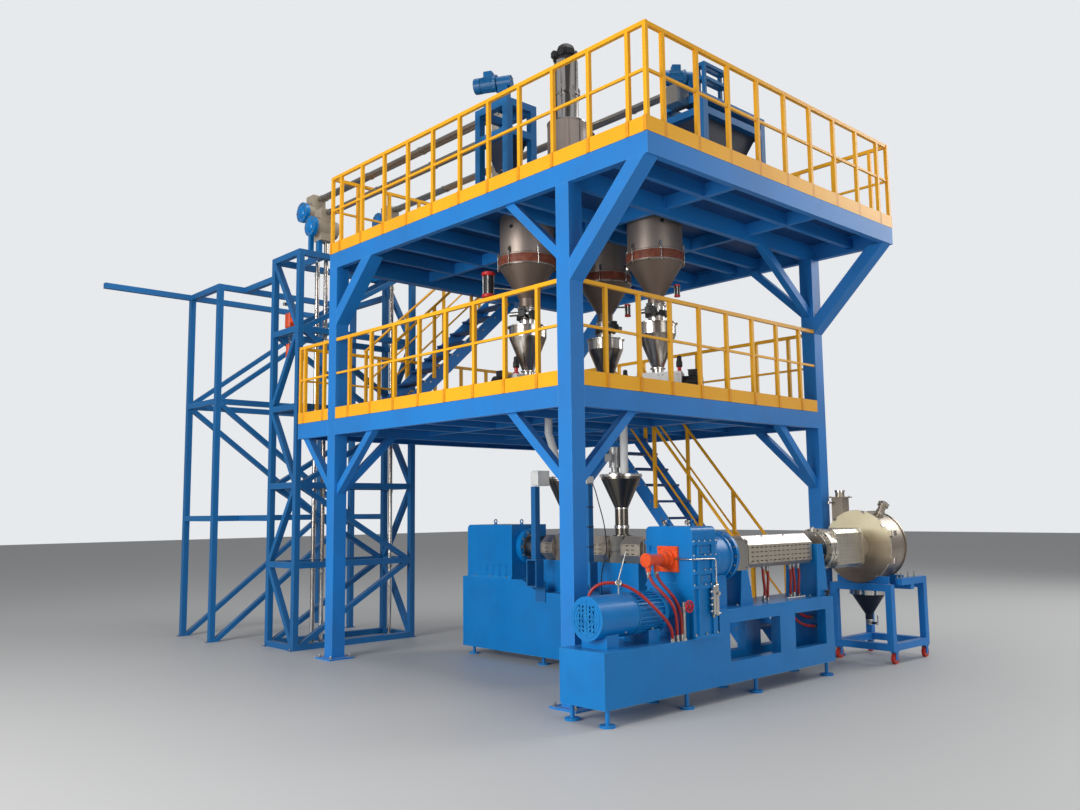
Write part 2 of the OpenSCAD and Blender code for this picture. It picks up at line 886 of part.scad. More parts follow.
module station_hoppers() {
  color([0.10, 0.13, 0.18])
    for (i = [0, 1]) {
      inside = [station_leg, station_leg];
      wall = [shell_t, shell_t];
      from = station_boxes[i][0] + inside;
      to = station_boxes[i][1] - inside;
      difference() {
        pyramid(from, to, hopper_rim_z[i], hopper_out_z[i], hopper_out_w[i], 0);
        pyramid(
          from + wall, to - wall, hopper_rim_z[i], hopper_out_z[i],
          hopper_out_w[i] - 2 * shell_t, 1
        );
      }
    }
}

module station_drive() {
  gear_d = 150;
  body_d = 180;
  axis_z = 300;
  motor_l = 250;
  translate([-110, -110, 0]) cube([220, 220, 20]);
  translate([0, 0, 20]) cylinder(d = 190, h = 25, $fn = 64);
  translate([-60, -60, 45]) cube([120, 120, axis_z - 45]);
  translate([0, 0, axis_z])
    rotate([0, -90, 0]) {
      translate([0, 0, -90]) cylinder(d = gear_d, h = 90 + gear_d / 2 + 20, $fn = 48);
      translate([0, 0, gear_d / 2 + 5]) cylinder(d = 200, h = 16, $fn = 64);
      translate([0, 0, gear_d / 2 + 20]) finned_motor(body_d, motor_l, 70, 20, 11, 4);
      translate([body_d / 2 - 20, -50, gear_d / 2 + 60]) cube([75, 100, 100]);
    }
}

module station_drives() {
  bridge_t = 12;
  color(machine_blue)
    for (i = [0, 1]) {
      box = station_boxes[i];
      y = (box[0].y + box[1].y) / 2;
      block([box[0].x, y - 120, station_z[i]], [box[1].x, y + 120, station_z[i] + bridge_t]);
      translate([box[0].x + 200, y, station_z[i] + bridge_t])
        rotate(i == 0 ? -60 : -40) station_drive();
    }
}

loader_place = [1330, 1350];
loader_drum_d = 470;
loader_drum_h = 1220;
loader_d = 290;
loader_h = 770;
loader_joint = 340;
cap_h = 230;

module vacuum_loader() {
  color(steel)
    translate([loader_place.x, loader_place.y, walk2_z])
      rotate_extrude($fn = 72)
        polygon([
          [0, 0], [loader_drum_d / 2, 0], [loader_drum_d / 2, loader_drum_h],
          [loader_d / 2 + 20, loader_drum_h], [loader_d / 2 + 20, loader_drum_h + 15],
          [loader_d / 2, loader_drum_h + 15], [loader_d / 2, loader_drum_h + loader_joint],
          [loader_d / 2 + 12, loader_drum_h + loader_joint],
          [loader_d / 2 + 12, loader_drum_h + loader_joint + 28],
          [loader_d / 2, loader_drum_h + loader_joint + 28],
          [loader_d / 2, loader_drum_h + loader_h],
          [0, loader_drum_h + loader_h]
        ]);
}

module loader_blower() {
  r = (loader_d - 20) / 2;
  rc = r - 28;
  color([0.08, 0.08, 0.09])
    translate([loader_place.x, loader_place.y, walk2_z + loader_drum_h + loader_h]) {
      rotate_extrude($fn = 64)
        polygon([
          [0, 0], [r, 0], [r, 36], [rc, 44], [rc, cap_h - 70], [rc - 12, cap_h - 35],
          [rc - 45, cap_h - 8], [rc - 70, cap_h], [0, cap_h]
        ]);
      for (turn = [200, 290])
        rotate(turn)
          translate([rc - 20, 0, 85])
            rotate([0, 90, 0]) {
              cylinder(d = 60, h = 55, $fn = 40);
              translate([0, 0, 45]) cylinder(d = 78, h = 12, $fn = 40);
            }
    }
}

filter_place = [1250, 2450];
filter_d = 260;
filter_h = 1720;
filter_edge = 40;

module dust_filter() {
  color([0.60, 0.56, 0.50])
    translate([filter_place.x, filter_place.y, walk2_z])
      rotate_extrude($fn = 64)
        polygon([
          [0, 0], [filter_d / 2, 0], [filter_d / 2, filter_h - filter_edge],
          [filter_d / 2 - filter_edge, filter_h], [0, filter_h]
        ]);
}

// Feed tower: flat lattice sides and faces, lift tubes and their drives

tower_x0 = deck_x0;
tower_y0 = deck1_y1 + tower_gap;
tower_y1 = tower_y0 + tower_d;

// A bar in the plane y = 0, from one point to another, as wide as w and as deep as t.
module bar(from, to, w, t) {
  d = to - from;
  translate([from.x, 0, from.y])
    rotate([0, -atan2(d.y, d.x), 0])
      translate([0, 0, -w / 2]) cube([norm(d), t, w]);
}

// A flat lattice in the plane y = 0, with posts, rungs and one diagonal in each bay.
module lattice(w, h, bays, post, posts = true) {
  a = posts ? 0 : post;
  if (posts)
    for (x = [0, w - post])
      translate([x, 0, 0]) cube([post, post, h]);
  for (i = [0:bays])
    translate([a, 0, i * (h - post) / bays]) cube([w - 2 * a, post, post]);
  inner = posts ? post / 2 : post;
  intersection() {
    translate([a, 0, 0]) cube([w - 2 * a, post, h]);
    union()
      for (i = [0:bays - 1]) {
        z0 = i * (h - post) / bays + post / 2;
        z1 = (i + 1) * (h - post) / bays + post / 2;
        up = i % 2 == 0;
        bar([inner, up ? z0 : z1], [w - inner, up ? z1 : z0], post * 0.8, post);
      }
  }
}

tower_bays = 5;

module tower_side_lattices() {
  color(blue)
    for (x = [tower_x0, tower_x0 + tower_w - lattice_w])
      translate([x, tower_y0, 0])
        mirror([1, -1, 0])
          lattice(tower_d, tower_h, tower_bays, lattice_w);
}

module tower_face_lattices() {
  color(blue)
    for (y = [tower_y0, tower_y1 - lattice_w])
      translate([tower_x0, y, 0])
        lattice(tower_w, tower_h, tower_bays, lattice_w, false);
}

// Lift heads: two for the near line and one for the far line, each on its own support

head_d = 260;
head_l = 410;
head_off = 230;
lift_near_x = 374;
head_lines = [
  [lift_near_x, tower_y0 + 160, tower_h + 398], [lift_near_x, tower_y0 + 400, tower_h + 655],
  [1650, tower_y0 + 400, tower_h + 770]
];
neck_w = 200;
neck_up = 270;
neck_down = 190;
tube_rise = 220;
tube_off = 30;
cap_t = 60;
seat_w = 60;

module lift_heads() {
  color([0.62, 0.58, 0.50])
    for (h = head_lines)
      translate(h) {
        translate([cap_t - head_off, 0, 0])
          rod_x(head_d, head_l - cap_t, 64);
        translate([-neck_w / 2, -neck_w / 2, -neck_down])
          cube([neck_w, neck_w, neck_down + neck_up]);
      }
}

module lift_tubes() {
  color(steel)
    for (h = head_lines)
      translate([h.x + neck_w / 2 - lift_d, h.y, 0])
        linear_extrude(h.z - neck_down)
          difference() {
            circle(d = lift_d, $fn = 40);
            circle(d = lift_d - 2 * shell_t, $fn = 40);
          }
}

module lift_drives() {
  color(machine_blue)
    for (h = head_lines) {
      translate([h.x - head_off, h.y, h.z])
        rod_x(head_d + 30, cap_t, 64);
      block(
        [h.x - neck_w / 2, h.y - seat_w / 2, tower_h - 1],
        [h.x - neck_w / 2 + seat_w, h.y + seat_w / 2, h.z - neck_down]
      );
      block(
        [h.x - neck_w / 2, tower_y0 + lattice_w, tower_h - lattice_w],
        [h.x - neck_w / 2 + seat_w, tower_y1 - lattice_w, tower_h]
      );
    }
}

// The near lines end at the left station, and the far line at an inlet box on the right one.
module screw_conveyor_tubes() {
  ends = [station_boxes[0][1].y - station_leg, station_boxes[0][1].y, 100];
  inlet_l = 200;
  color(steel) {
    for (i = [0:2], side = [-1, 1]) {
      h = head_lines[i];
      translate([h.x + tube_off + side * (lift_d / 2 + 4), h.y - neck_w / 2, h.z + tube_rise])
        rotate([90, 0, 0])
          cylinder(d = lift_d, h = h.y - neck_w / 2 - ends[i], $fn = 32);
    }
    block(
      [head_lines[2].x - 40, ends[2] - inlet_l, station_z[1] - 110],
      [station_boxes[1][0].x, ends[2] + 1, head_lines[2].z + tube_rise + 60]
    );
  }
}

// Hoist frame: two lattices beyond the tower with beams between them

hoist_x0 = -490;
hoist_x1 = tower_x0 + tower_w;

hoist_bays = 3;
touch = 0.05;
hoist_levels = [for (i = [0:hoist_bays]) i * (hoist_h - lattice_w) / hoist_bays];

hoist_rows = [hoist_y, hoist_y + hoist_d - lattice_w];

module hoist_posts() {
  color(blue)
    for (x = [hoist_x0, hoist_x1 - lattice_w], y = hoist_rows)
      translate([x, y, 0]) cube([lattice_w, lattice_w, hoist_h]);
}

module hoist_rungs() {
  color(blue)
    for (y = hoist_rows, i = [1:hoist_bays])
      block(
        [hoist_x0 + lattice_w, y, hoist_levels[i]],
        [hoist_x1 - lattice_w, y + lattice_w, hoist_levels[i] + lattice_w]
      );
}

module hoist_diagonals() {
  x0 = hoist_x0 + lattice_w;
  x1 = hoist_x1 - lattice_w;
  color(blue)
    for (y = hoist_rows, i = [0:hoist_bays - 1]) {
      z0 = i == 0 ? 0 : hoist_levels[i] + lattice_w;
      z1 = hoist_levels[i + 1];
      up = i % 2 == 0;
      intersection() {
        block([x0 + touch, y, z0 + touch], [x1 - touch, y + lattice_w, z1 - touch]);
        translate([0, y, 0])
          bar([x0, up ? z0 : z1], [x1, up ? z1 : z0], lattice_w * 0.8, lattice_w);
      }
    }
}

module hoist_cross_beams() {
  reach = 1280;
  y0 = hoist_y + lattice_w;
  y1 = hoist_y + hoist_d - lattice_w;
  color(blue) {
    for (x = [hoist_x0, hoist_x1 - lattice_w], i = [1:hoist_bays])
      block([x, y0, hoist_levels[i]], [x + lattice_w, y1, hoist_levels[i] + lattice_w]);
    for (x = [tower_x0, tower_x0 + tower_w - lattice_w], i = [1, hoist_bays])
      block([x, tower_y1, hoist_levels[i]], [x + lattice_w, hoist_y, hoist_levels[i] + lattice_w]);
    block([hoist_x0 - reach, y1, hoist_h - lattice_w], [hoist_x0, y1 + lattice_w, hoist_h]);
  }
}

// Kneader: base, gearbox, barrel on its feed blocks, and slotted covers between them

kn_base_y0 = 600;
plinth_z = kn_z - kn_cover_w / 2;
kn_base_y1 = kn_drive_y + kn_drive_l + 90;
foot_z = 100;
pad_t = 20;
kn_low_z = kn_base_z - 130;

module machine_foot(h) {
  cylinder(d = 140, h = pad_t, $fn = 48);
  cylinder(d = 40, h = h, $fn = 32);
}

module kneader_base() {
  side = kn_base_w / 2;
  plinth = 110;
  feet_y = [kn_base_y0 + 120, (kn_base_y0 + kn_base_y1) / 2, kn_base_y1 - 120];
  color(machine_blue) {
    translate([kn_x - side, 0, 0])
      rotate([90, 0, 90])
        linear_extrude(kn_base_w)
          polygon([
            [kn_base_y0, foot_z], [kn_base_y1, foot_z], [kn_base_y1, kn_base_z],
            [kn_drive_y - 200, kn_base_z], [kn_y1 - 80, kn_low_z], [kn_base_y0, kn_low_z]
          ]);
    block([kn_x - plinth, kn_base_y0, kn_low_z - 1], [kn_x + plinth, kn_y1, plinth_z]);
    for (x = [kn_x - side + 90, kn_x + side - 90], y = feet_y)
      translate([x, y, 0]) machine_foot(foot_z + 1);
  }
}

// The barrel's foot stands in the recess of the gearbox's lantern ring.
lantern_out = 80;
lantern_floor = 20;
lantern_d = 440;
lantern_bore = 340;

module kneader_gearbox() {
  w = kn_base_w - 20;
  r = 60;
  z1 = kn_base_z + kn_drive_h;
  y1 = kn_drive_y + kn_drive_l;
  louvre = [16, 75, 140];
  color(machine_blue) {
    difference() {
      union() {
        block([kn_x - w / 2, kn_drive_y, kn_base_z], [kn_x + w / 2, y1, z1 - r]);
        block([kn_x - w / 2, kn_drive_y, z1 - r - 1], [kn_x + w / 2, y1 - r, z1]);
        translate([kn_x - w / 2, y1 - r, z1 - r])
          rotate([0, 90, 0]) cylinder(r = r, h = w, $fn = 64);
        block([kn_x - w / 2 - 10, kn_drive_y, kn_base_z], [kn_x + w / 2 + 10, y1, kn_base_z + 18]);
      }
      for (i = [0:3], side = [-1, 1])
        translate([kn_x + (side * w - louvre.x) / 2, kn_drive_y + 40 + i * 125, kn_base_z + 30])
          cube(louvre);
    }
    translate([kn_x, kn_drive_y, kn_z])
      rotate([90, 0, 0])
        difference() {
          cylinder(d = lantern_d, h = lantern_out, $fn = 96);
          translate([0, 0, lantern_floor])
            cylinder(d = lantern_bore, h = lantern_out, $fn = 96);
        }
    for (y = [kn_drive_y + 140, y1 - 220])
      translate([kn_x, y, z1 - 1]) lifting_eye();
  }
}

// A lifting eye: a ring standing on a round foot.
module lifting_eye() {
  cylinder(d = 44, h = 14, $fn = 32);
  translate([0, 0, 40])
    rotate([90, 0, 0])
      rotate_extrude($fn = 40) translate([22, 0]) circle(d = 14, $fn = 20);
}

feed_block_w = 200;
collar_t = 30;
feed_blocks = [feed_front_y, feed_rear_y];
kn_top = kn_z + kn_cover_w / 2;

module kneader_barrel() {
  color(steel) {
    translate([kn_x, kn_drive_y - lantern_floor, kn_z])
      rotate([90, 0, 0]) {
        cylinder(d = kn_barrel_d, h = kn_drive_y - lantern_floor - kn_y0, $fn = 64);
        cylinder(d = kn_barrel_d + 50, h = kn_drive_y - lantern_floor - kn_y1, $fn = 64);
        for (z = [0, kn_drive_y - lantern_floor - kn_y1 - collar_t])
          translate([0, 0, z]) cylinder(d = kn_barrel_d + 90, h = collar_t, $fn = 64);
      }
    for (y = feed_blocks)
      block(
        [kn_x - feed_block_w / 2, y - feed_block_w / 2, plinth_z],
        [kn_x + feed_block_w / 2, y + feed_block_w / 2, kn_top]
      );
  }
}

seat_gap = 0.3;
cover_t = 4;
slot_w = 46;
slot_h = 10;

// A sheet cover along +X around the origin's axis, closed at both ends, with slotted sides.
module cover(l, outline, inner, bore, side, rows) {
  n = floor((l - 60) / 80);
  margin = (l - (n - 1) * 80) / 2;
  difference() {
    rotate([90, 0, 90]) linear_extrude(l) polygon(outline);
    translate([cover_t, 0, 0]) rotate([90, 0, 90]) linear_extrude(l - 2 * cover_t) polygon(inner);
    translate([-1, 0, 0]) rod_x(bore + 2 * seat_gap, l + 2, 64);
    if (rows > 0)
      for (i = [0:n - 1], j = [0:rows - 1])
        translate([margin + i * 80, 0, (j - (rows - 1) / 2) * 46])
          cube([slot_w, 2 * side + 2, slot_h], center = true);
  }
}

function octagon(across) =
  let (a = across / 2, b = a * tan(22.5))
    [[-b, -a], [b, -a], [a, -b], [a, b], [b, a], [-b, a], [-a, b], [-a, -b]];

module kneader_barrel_covers() {
  stops = [
    [kn_y0 + 20, feed_front_y - feed_block_w / 2 - 10],
    [feed_front_y + feed_block_w / 2 + 10, feed_rear_y - feed_block_w / 2 - 10],
    [feed_rear_y + feed_block_w / 2 + 10, kn_y1 - 5]
  ];
  color([0.70, 0.66, 0.58])
    for (c = stops)
      translate([kn_x, c[0], kn_z])
        rotate(90)
          cover(
            c[1] - c[0], octagon(kn_cover_w), octagon(kn_cover_w - 2 * cover_t),
            kn_barrel_d, kn_cover_w / 2, 3
          );
}

duct_w = 200;
duct_t = 8;
duct_rim_t = 14;

module transfer_duct() {
  y0 = ds_y + feed_box_w / 2;
  color(steel)
    translate([kn_x, kn_y0, kn_z])
      rotate([90, 0, 0])
        difference() {
          union() {
            translate([-duct_w / 2, -duct_w / 2, 0]) cube([duct_w, duct_w, kn_y0 - y0]);
            for (z = [0, kn_y0 - y0 - duct_rim_t])
              translate([-duct_w / 2 - rim_w, -duct_w / 2 - rim_w, z])
                cube([duct_w + 2 * rim_w, duct_w + 2 * rim_w, duct_rim_t]);
          }
          translate([-duct_w / 2 + duct_t, -duct_w / 2 + duct_t, duct_t])
            cube([duct_w - 2 * duct_t, duct_w - 2 * duct_t, kn_y0 - y0]);
        }
}

feed_neck_d = 150;

module feed_hopper() {
  r = feed_d / 2;
  rn = feed_neck_d / 2;
  z_cone = feed_z - feed_cone_h;
  rotate_extrude($fn = 80)
    polygon([
      [rn - shell_t, kn_top], [rn + 25, kn_top], [rn + 25, kn_top + 15], [rn, kn_top + 15],
      [rn, z_cone], [r, feed_z - 40], [r, feed_z - 15], [r + 15, feed_z - 15],
      [r + 15, feed_z + feed_lid_t], [0, feed_z + feed_lid_t], [0, feed_z],
      [r - shell_t, feed_z], [r - shell_t, feed_z - 38], [rn - shell_t, z_cone + 2]
    ]);
}

module feed_hoppers() {
  color(steel)
    for (y = feed_blocks)
      translate([kn_x, y, 0]) feed_hopper();
}

module feed_hopper_drives() {
  z0 = feed_z + feed_lid_t;
  color([0.55, 0.56, 0.56])
    for (p = [[kn_x - 60, feed_front_y + 30], [kn_x + 70, feed_rear_y - 70]])
      translate([p.x, p.y, z0]) {
        cylinder(d = 150, h = 20, $fn = 48);
        translate([0, 0, 20]) cylinder(d = 90, h = 61, $fn = 48);
        translate([0, 0, 80]) finned_motor(140, 230, 60, 18, 9, 3);
      }
}

service_y = [1090, 1970];
service_w = 75;
service_top = 2100;
bracket_h = 260;

module service_posts() {
  x1 = kn_x - kn_base_w / 2;
  x0 = x1 - 150;
  t = 12;
  cx = (x0 + x1) / 2;
  color(blue)
    for (y = service_y)
      translate([0, y, 0]) {
        block([x0, -85, kn_base_z - 60], [x1, 85, kn_base_z - 60 + t]);
        block([x1 - t, -85, kn_low_z - 110], [x1, 85, kn_base_z]);
        for (side = [-85, 85 - t])
          block([x0, side, kn_base_z - 60], [x1 - 30, side + t, kn_base_z + bracket_h]);
        block([x0, -85, kn_base_z + bracket_h - t], [x1 - 30, 85, kn_base_z + bracket_h]);
        translate([cx - service_w / 2, -service_w / 2, kn_base_z + bracket_h - 1])
          cube([service_w, service_w, service_top - kn_base_z - bracket_h]);
      }
}

// Discharge line: frame with its uprights, motor, gearbox, barrel and die

drive_base_x0 = -450;
drive_base_z = 620;
frame_z = 150;
ds_y0 = ds_y - ds_w / 2;
ds_y1 = ds_y + ds_w / 2;
upright_t = 60;
upright_x = [1700, 3050];
gusset_t = 16;
frame_wall = 110;
frame_top_t = 30;
rail_deep = 130;
sill_deep = 200;

module barrel_upright(x, w, top_z) {
  h = top_z - ds_top;
  spread = [30, 130];
  translate([x, ds_y - w / 2, ds_top - 1]) cube([upright_t, w, h + 1]);
  for (y = [ds_y - w / 2 + gusset_t, ds_y + w / 2])
    translate([x, y, ds_top - 1])
      rotate([90, 0, 0])
        linear_extrude(gusset_t)
          polygon([
            [-spread[0], 0], [upright_t + spread[1], 0],
            [upright_t + spread[1] * 0.35, h + 1], [0, h + 1]
          ]);
}

module discharge_frame() {
  window_z0 = frame_z + sill_deep;
  window_z1 = ds_top - rail_deep;
  windows = [[ds_x0 + 160, 2170], [2445, ds_x1 - 160]];
  color(machine_blue) {
    difference() {
      block([ds_x0, ds_y0, frame_z], [ds_x1, ds_y1, ds_top]);
      block(
        [ds_x0 + frame_wall, ds_y0 + frame_wall, frame_z - 1],
        [ds_x1 - frame_wall, ds_y1 - frame_wall, ds_top - frame_top_t]
      );
      for (w = windows)
        block([w[0], ds_y0 - 1, window_z0], [w[1], ds_y1 + 1, window_z1]);
    }
    block([drive_base_x0, ds_y0, frame_z], [ds_x0 + 1, ds_y1, drive_base_z]);
    for (x = [drive_base_x0 + 90, 700, ds_x0 + 640, ds_x1 - 90], y = [ds_y0 + 60, ds_y1 - 60])
      translate([x, y, 0]) machine_foot(frame_z + 1);
    barrel_upright(upright_x[0], feed_box_w, ds_z - feed_box_w / 2);
    difference() {
      barrel_upright(upright_x[1], 400, ds_z + 70);
      translate([upright_x[1] - 1, ds_y, ds_z])
        rod_x(ds_barrel_d + 2 * seat_gap, upright_t + 2, 64);
    }
  }
}

motor_x0 = -380;
motor_l = 880;

module drive_motor() {
  foot_up = motor_z - drive_base_z - motor_d / 2 + 50;
  cowl_l = 480;
  color(machine_blue) {
    translate([motor_x0 + motor_l, ds_y, motor_z])
      rotate([0, -90, 0]) {
        finned_motor(motor_d, motor_l, cowl_l, 30, 22, 7);
        for (z = [90, motor_l - 240])
          translate([drive_base_z - motor_z, -motor_d * 0.4, z])
            cube([foot_up, motor_d * 0.8, 150]);
      }
    translate([motor_x0 + motor_l - 1, ds_y, motor_z])
      rotate([0, 90, 0]) {
        cylinder(d = 150, h = gear_x - motor_x0 - motor_l + 1, $fn = 48);
        translate([0, 0, 90]) cylinder(d = 210, h = 80, $fn = 64);
      }
  }
}

lantern_l = 440;

module discharge_gearbox() {
  y0 = ds_y - gear_w / 2;
  y1 = ds_y + gear_w / 2;
  z0 = drive_base_z;
  z1 = z0 + gear_h;
  x1 = gear_x + gear_l;
  out = 20;
  r = 50;
  rib_t = 30;
  deep = 14;
  splits = [z0, z0 + 455, z0 + 590, z0 + 730, z0 + 860];
  band_w = 210;
  color(machine_blue) {
    difference() {
      union() {
        block([gear_x, y0 + out, z0], [x1, y1 - out, z1 - r]);
        block([gear_x, y0 + out + r, z1 - r - 1], [x1, y1 - out - r, z1]);
        for (y = [y0 + out + r, y1 - out - r])
          translate([gear_x, y, z1 - r]) rotate([0, 90, 0]) cylinder(r = r, h = gear_l, $fn = 64);
        for (z = splits)
          block([gear_x, y0, z], [x1, y1, z + rib_t]);
        block([gear_x + 60, y0, z0], [gear_x + 60 + rib_t, y1, splits[4]]);
        block([x1 - 90, y0, z0], [x1 - 90 + rib_t, y1, splits[4]]);
      }
      for (i = [0:3])
        block(
          [gear_x - 1, y0 + band_w, splits[i] + rib_t + 14],
          [gear_x + deep, y1 - 60, splits[i + 1] - 14]
        );
    }
    translate([x1, ds_y, ds_z])
      rotate([0, 90, 0])
        rotate_extrude($fn = 96)
          polygon([
            [0, -1], [280, -1], [280, 45], [262, 60], [225, 150], [225, 300], [240, 310],
            [240, 335], [205, 345], [205, lantern_l - 62], [250, lantern_l - 52],
            [250, lantern_l - 12], [240, lantern_l], [0, lantern_l]
          ]);
    block([ds_x0 + 20, ds_y - 150, ds_top], [x1 + 330, ds_y + 150, ds_z - 180]);
    for (y = [ds_y - 150, ds_y + 150])
      translate([gear_x + gear_l / 2, y, z1 - 1]) lifting_eye();
  }
}

barrel_x0 = gear_x + gear_l + lantern_l;
barrel_x1 = ds_x1 + 100;
feed_box_w = 300;

module discharge_barrel() {
  color(steel) {
    translate([barrel_x0, ds_y, ds_z])
      rotate([0, 90, 0]) {
        cylinder(d = ds_barrel_d, h = barrel_x1 - barrel_x0, $fn = 64);
        cylinder(d = 300, h = 31, $fn = 64);
        translate([0, 0, barrel_x1 - barrel_x0 - 60]) cylinder(d = 400, h = 60, $fn = 80);
      }
    block(
      [kn_x - duct_w / 2 - 20, ds_y - feed_box_w / 2, ds_z - feed_box_w / 2],
      [kn_x + duct_w / 2 + 20, ds_y + feed_box_w / 2, ds_z + feed_box_w / 2]
    );
  }
}

cover_under = ds_z - 0.42 * ds_cover_h;

module discharge_barrel_cover() {
  a = ds_cover_w / 2;
  down = ds_z - cover_under;
  up = ds_cover_h - down;
  chamfer = 90;
  bevel = 40;
  function profile(i) = [
    [-a + bevel, -down + i], [a - bevel, -down + i], [a - i, -down + bevel], [a - i, up - chamfer],
    [a - chamfer, up - i], [-a + chamfer, up - i], [-a + i, up - chamfer], [-a + i, -down + bevel]
  ];
  x0 = kn_x + duct_w / 2 + 30;
  color([0.72, 0.67, 0.58])
    translate([x0, ds_y, ds_z])
      cover(upright_x[1] - 30 - x0, profile(0), profile(cover_t), ds_barrel_d, a, 4);
}

die_flange_d = 470;
die_flange_l = 130;
die_body_w = 430;
die_body_x1 = 4060;
die_neck_d = 320;

module die_head() {
  chamfer = 40;
  a = die_body_w / 2;
  x_box = barrel_x1 + die_flange_l;
  band_l = 90;
  box_l = die_body_x1 - band_l - x_box;
  cols = 6;
  rows = 8;
  function ring(a) = [
    [-a + chamfer, -a], [a - chamfer, -a], [a, -a + chamfer], [a, a - chamfer],
    [a - chamfer, a], [-a + chamfer, a], [-a, a - chamfer], [-a, -a + chamfer]
  ];
  color([0.70, 0.66, 0.60]) {
    translate([barrel_x1, ds_y, ds_z])
      rotate([0, 90, 0]) {
        cylinder(d = die_flange_d, h = 56, $fn = 96);
        cylinder(d = die_flange_d - 50, h = die_flange_l, $fn = 96);
        translate([0, 0, 70]) cylinder(d = die_flange_d, h = die_flange_l - 70, $fn = 96);
        cylinder(d = die_neck_d, h = hood_x - hood_gap - barrel_x1, $fn = 80);
      }
    translate([x_box, ds_y, ds_z])
      difference() {
        rotate([90, 0, 90]) linear_extrude(box_l + 1) polygon(ring(a));
        for (i = [0:cols - 1], j = [0:rows - 1], side = [-1, 1])
          translate([
            60 + i * (box_l - 120) / (cols - 1) + (j % 2 - 0.5) * 14,
            side * a, (j - (rows - 1) / 2) * 40
          ])
            cube([slot_w, 2 * cover_t, slot_h], center = true);
      }
    translate([x_box + box_l, ds_y, ds_z])
      rotate([90, 0, 90]) {
        linear_extrude(24) polygon(ring(a + 12));
        linear_extrude(band_l) polygon(ring(a - 8));
      }
  }
}

module rotary_union() {
  plate = 240;
  color(orange) {
    translate([gear_x, ds_y, ds_z])
      rotate([0, -90, 0]) {
        translate([-plate / 2, -plate / 2, 0]) cube([plate, plate, 25]);
        cylinder(d = 180, h = 55, $fn = 64);
        cylinder(d = 140, h = 110, $fn = 64);
        cylinder(d = 105, h = 320, $fn = 64);
        translate([0, 0, 300]) cylinder(d = 130, h = 40, $fn = 64);
      }
    for (x = union_ports)
      translate([x, ds_y, ds_z - port_drop]) {
        cylinder(d = 44, h = port_drop - 20, $fn = 32);
        translate([0, 0, 20]) cylinder(d = 58, h = 22, $fn = 6);
      }
  }
}

union_ports = [450, 560];
port_drop = 110;

// Coolant hoses, each from one coupling to the next: rings of points along their routes

hose_d = 30;
hose_sides = 10;

// From the union's ports and over the motor to the drive base: x, the offset from the screw's
// axis, and the height as a share of the way up from the base to the ports
drive_hoses = [
  [
    [450, 0, 1], [451, -14, 0.91], [458, -68, 0.8], [478, -150, 0.69], [508, -219, 0.56],
    [532, -242, 0.42], [545, -243, 0.28], [549, -240, 0.13], [550, -240, 0]
  ],
  [
    [560, 0, 1], [561, -15, 0.91], [568, -72, 0.8], [584, -155, 0.68], [602, -212, 0.54],
    [615, -234, 0.4], [619, -237, 0.26], [620, -237, 0.12], [620, -237, 0]
  ],
  [
    [-130, 240, 0], [-130, 240, 0.14], [-130, 240, 0.35], [-129, 238, 0.55], [-120, 218, 0.72],
    [-90, 172, 0.83], [-40, 98, 0.885], [30, 8, 0.878], [100, -82, 0.815], [165, -166, 0.7],
    [225, -230, 0.56], [300, -262, 0.43], [385, -266, 0.31], [450, -256, 0.2],
    [482, -243, 0.09], [485, -238, 0]
  ]
];
function lay(p) = [p.x, ds_y + p.y, drive_base_z + p.z * (ds_z - port_drop - drive_base_z)];

// Between the cover's underside and the frame
function fall(x, sway) = [
  for (i = [0:5])
    [x + sway * sin(72 * i), ds_y - 65 - 8 * sin(36 * i), cover_under + (ds_top - cover_under) * i / 5]
];

// Inside the frame, from its top to its end wall
function bend(x, y, drop) = [
  for (a = [0:15:90])
    [x + (ds_x1 - frame_wall - x) * (1 - cos(a)), y, ds_top - frame_top_t - drop * sin(a)]
];

hose_routes = concat(
  [for (route = drive_hoses) [for (p = route) lay(p)]],
  [for (h = [[2200, -12], [2270, 9], [2700, 8], [2770, -8], [2860, 14]]) fall(h.x, h.y)],
  [bend(2560, ds_y - 120, 300), bend(2740, ds_y - 75, 205)]
);

function unit(v) = v / norm(v);
// Each ring stands square to the run, and the end rings lie flat on what they meet.
function ring_axis(p, i) =
  i > 0 && i < len(p) - 1 ? unit(unit(p[i] - p[i - 1]) + unit(p[i + 1] - p[i]))
  : let (v = i == 0 ? p[1] - p[0] : p[i] - p[i - 1])
    abs(v.z) > abs(v.x) ? [0, 0, sign(v.z)] : [sign(v.x), 0, 0];
function hose_ring(p, i) =
  let (t = ring_axis(p, i), side = unit(cross(t, [0.02, 1, 0.01])), up = cross(side, t))
    [for (k = [1:hose_sides])
      p[i] + hose_d / 2 * (cos(360 * k / hose_sides) * side + sin(360 * k / hose_sides) * up)];

module hose(p) {
  n = len(p);
  points = [for (i = [0:n - 1]) each hose_ring(p, i)];
  polyhedron(
    points,
    concat(
      [[for (k = [0:hose_sides - 1]) k]],
      [
        for (i = [0:n - 2], k = [0:hose_sides - 1])
          let (a = i * hose_sides + k, b = i * hose_sides + (k + 1) % hose_sides)
            [a, a + hose_sides, b + hose_sides, b]
      ],
      [[for (k = [hose_sides - 1:-1:0]) (n - 1) * hose_sides + k]]
    )
  );
}

module coolant_hoses() {
  color([0.62, 0.10, 0.08])
    for (p = hose_routes)
      hose(p);
}

// Pelletizer hood on its trolley

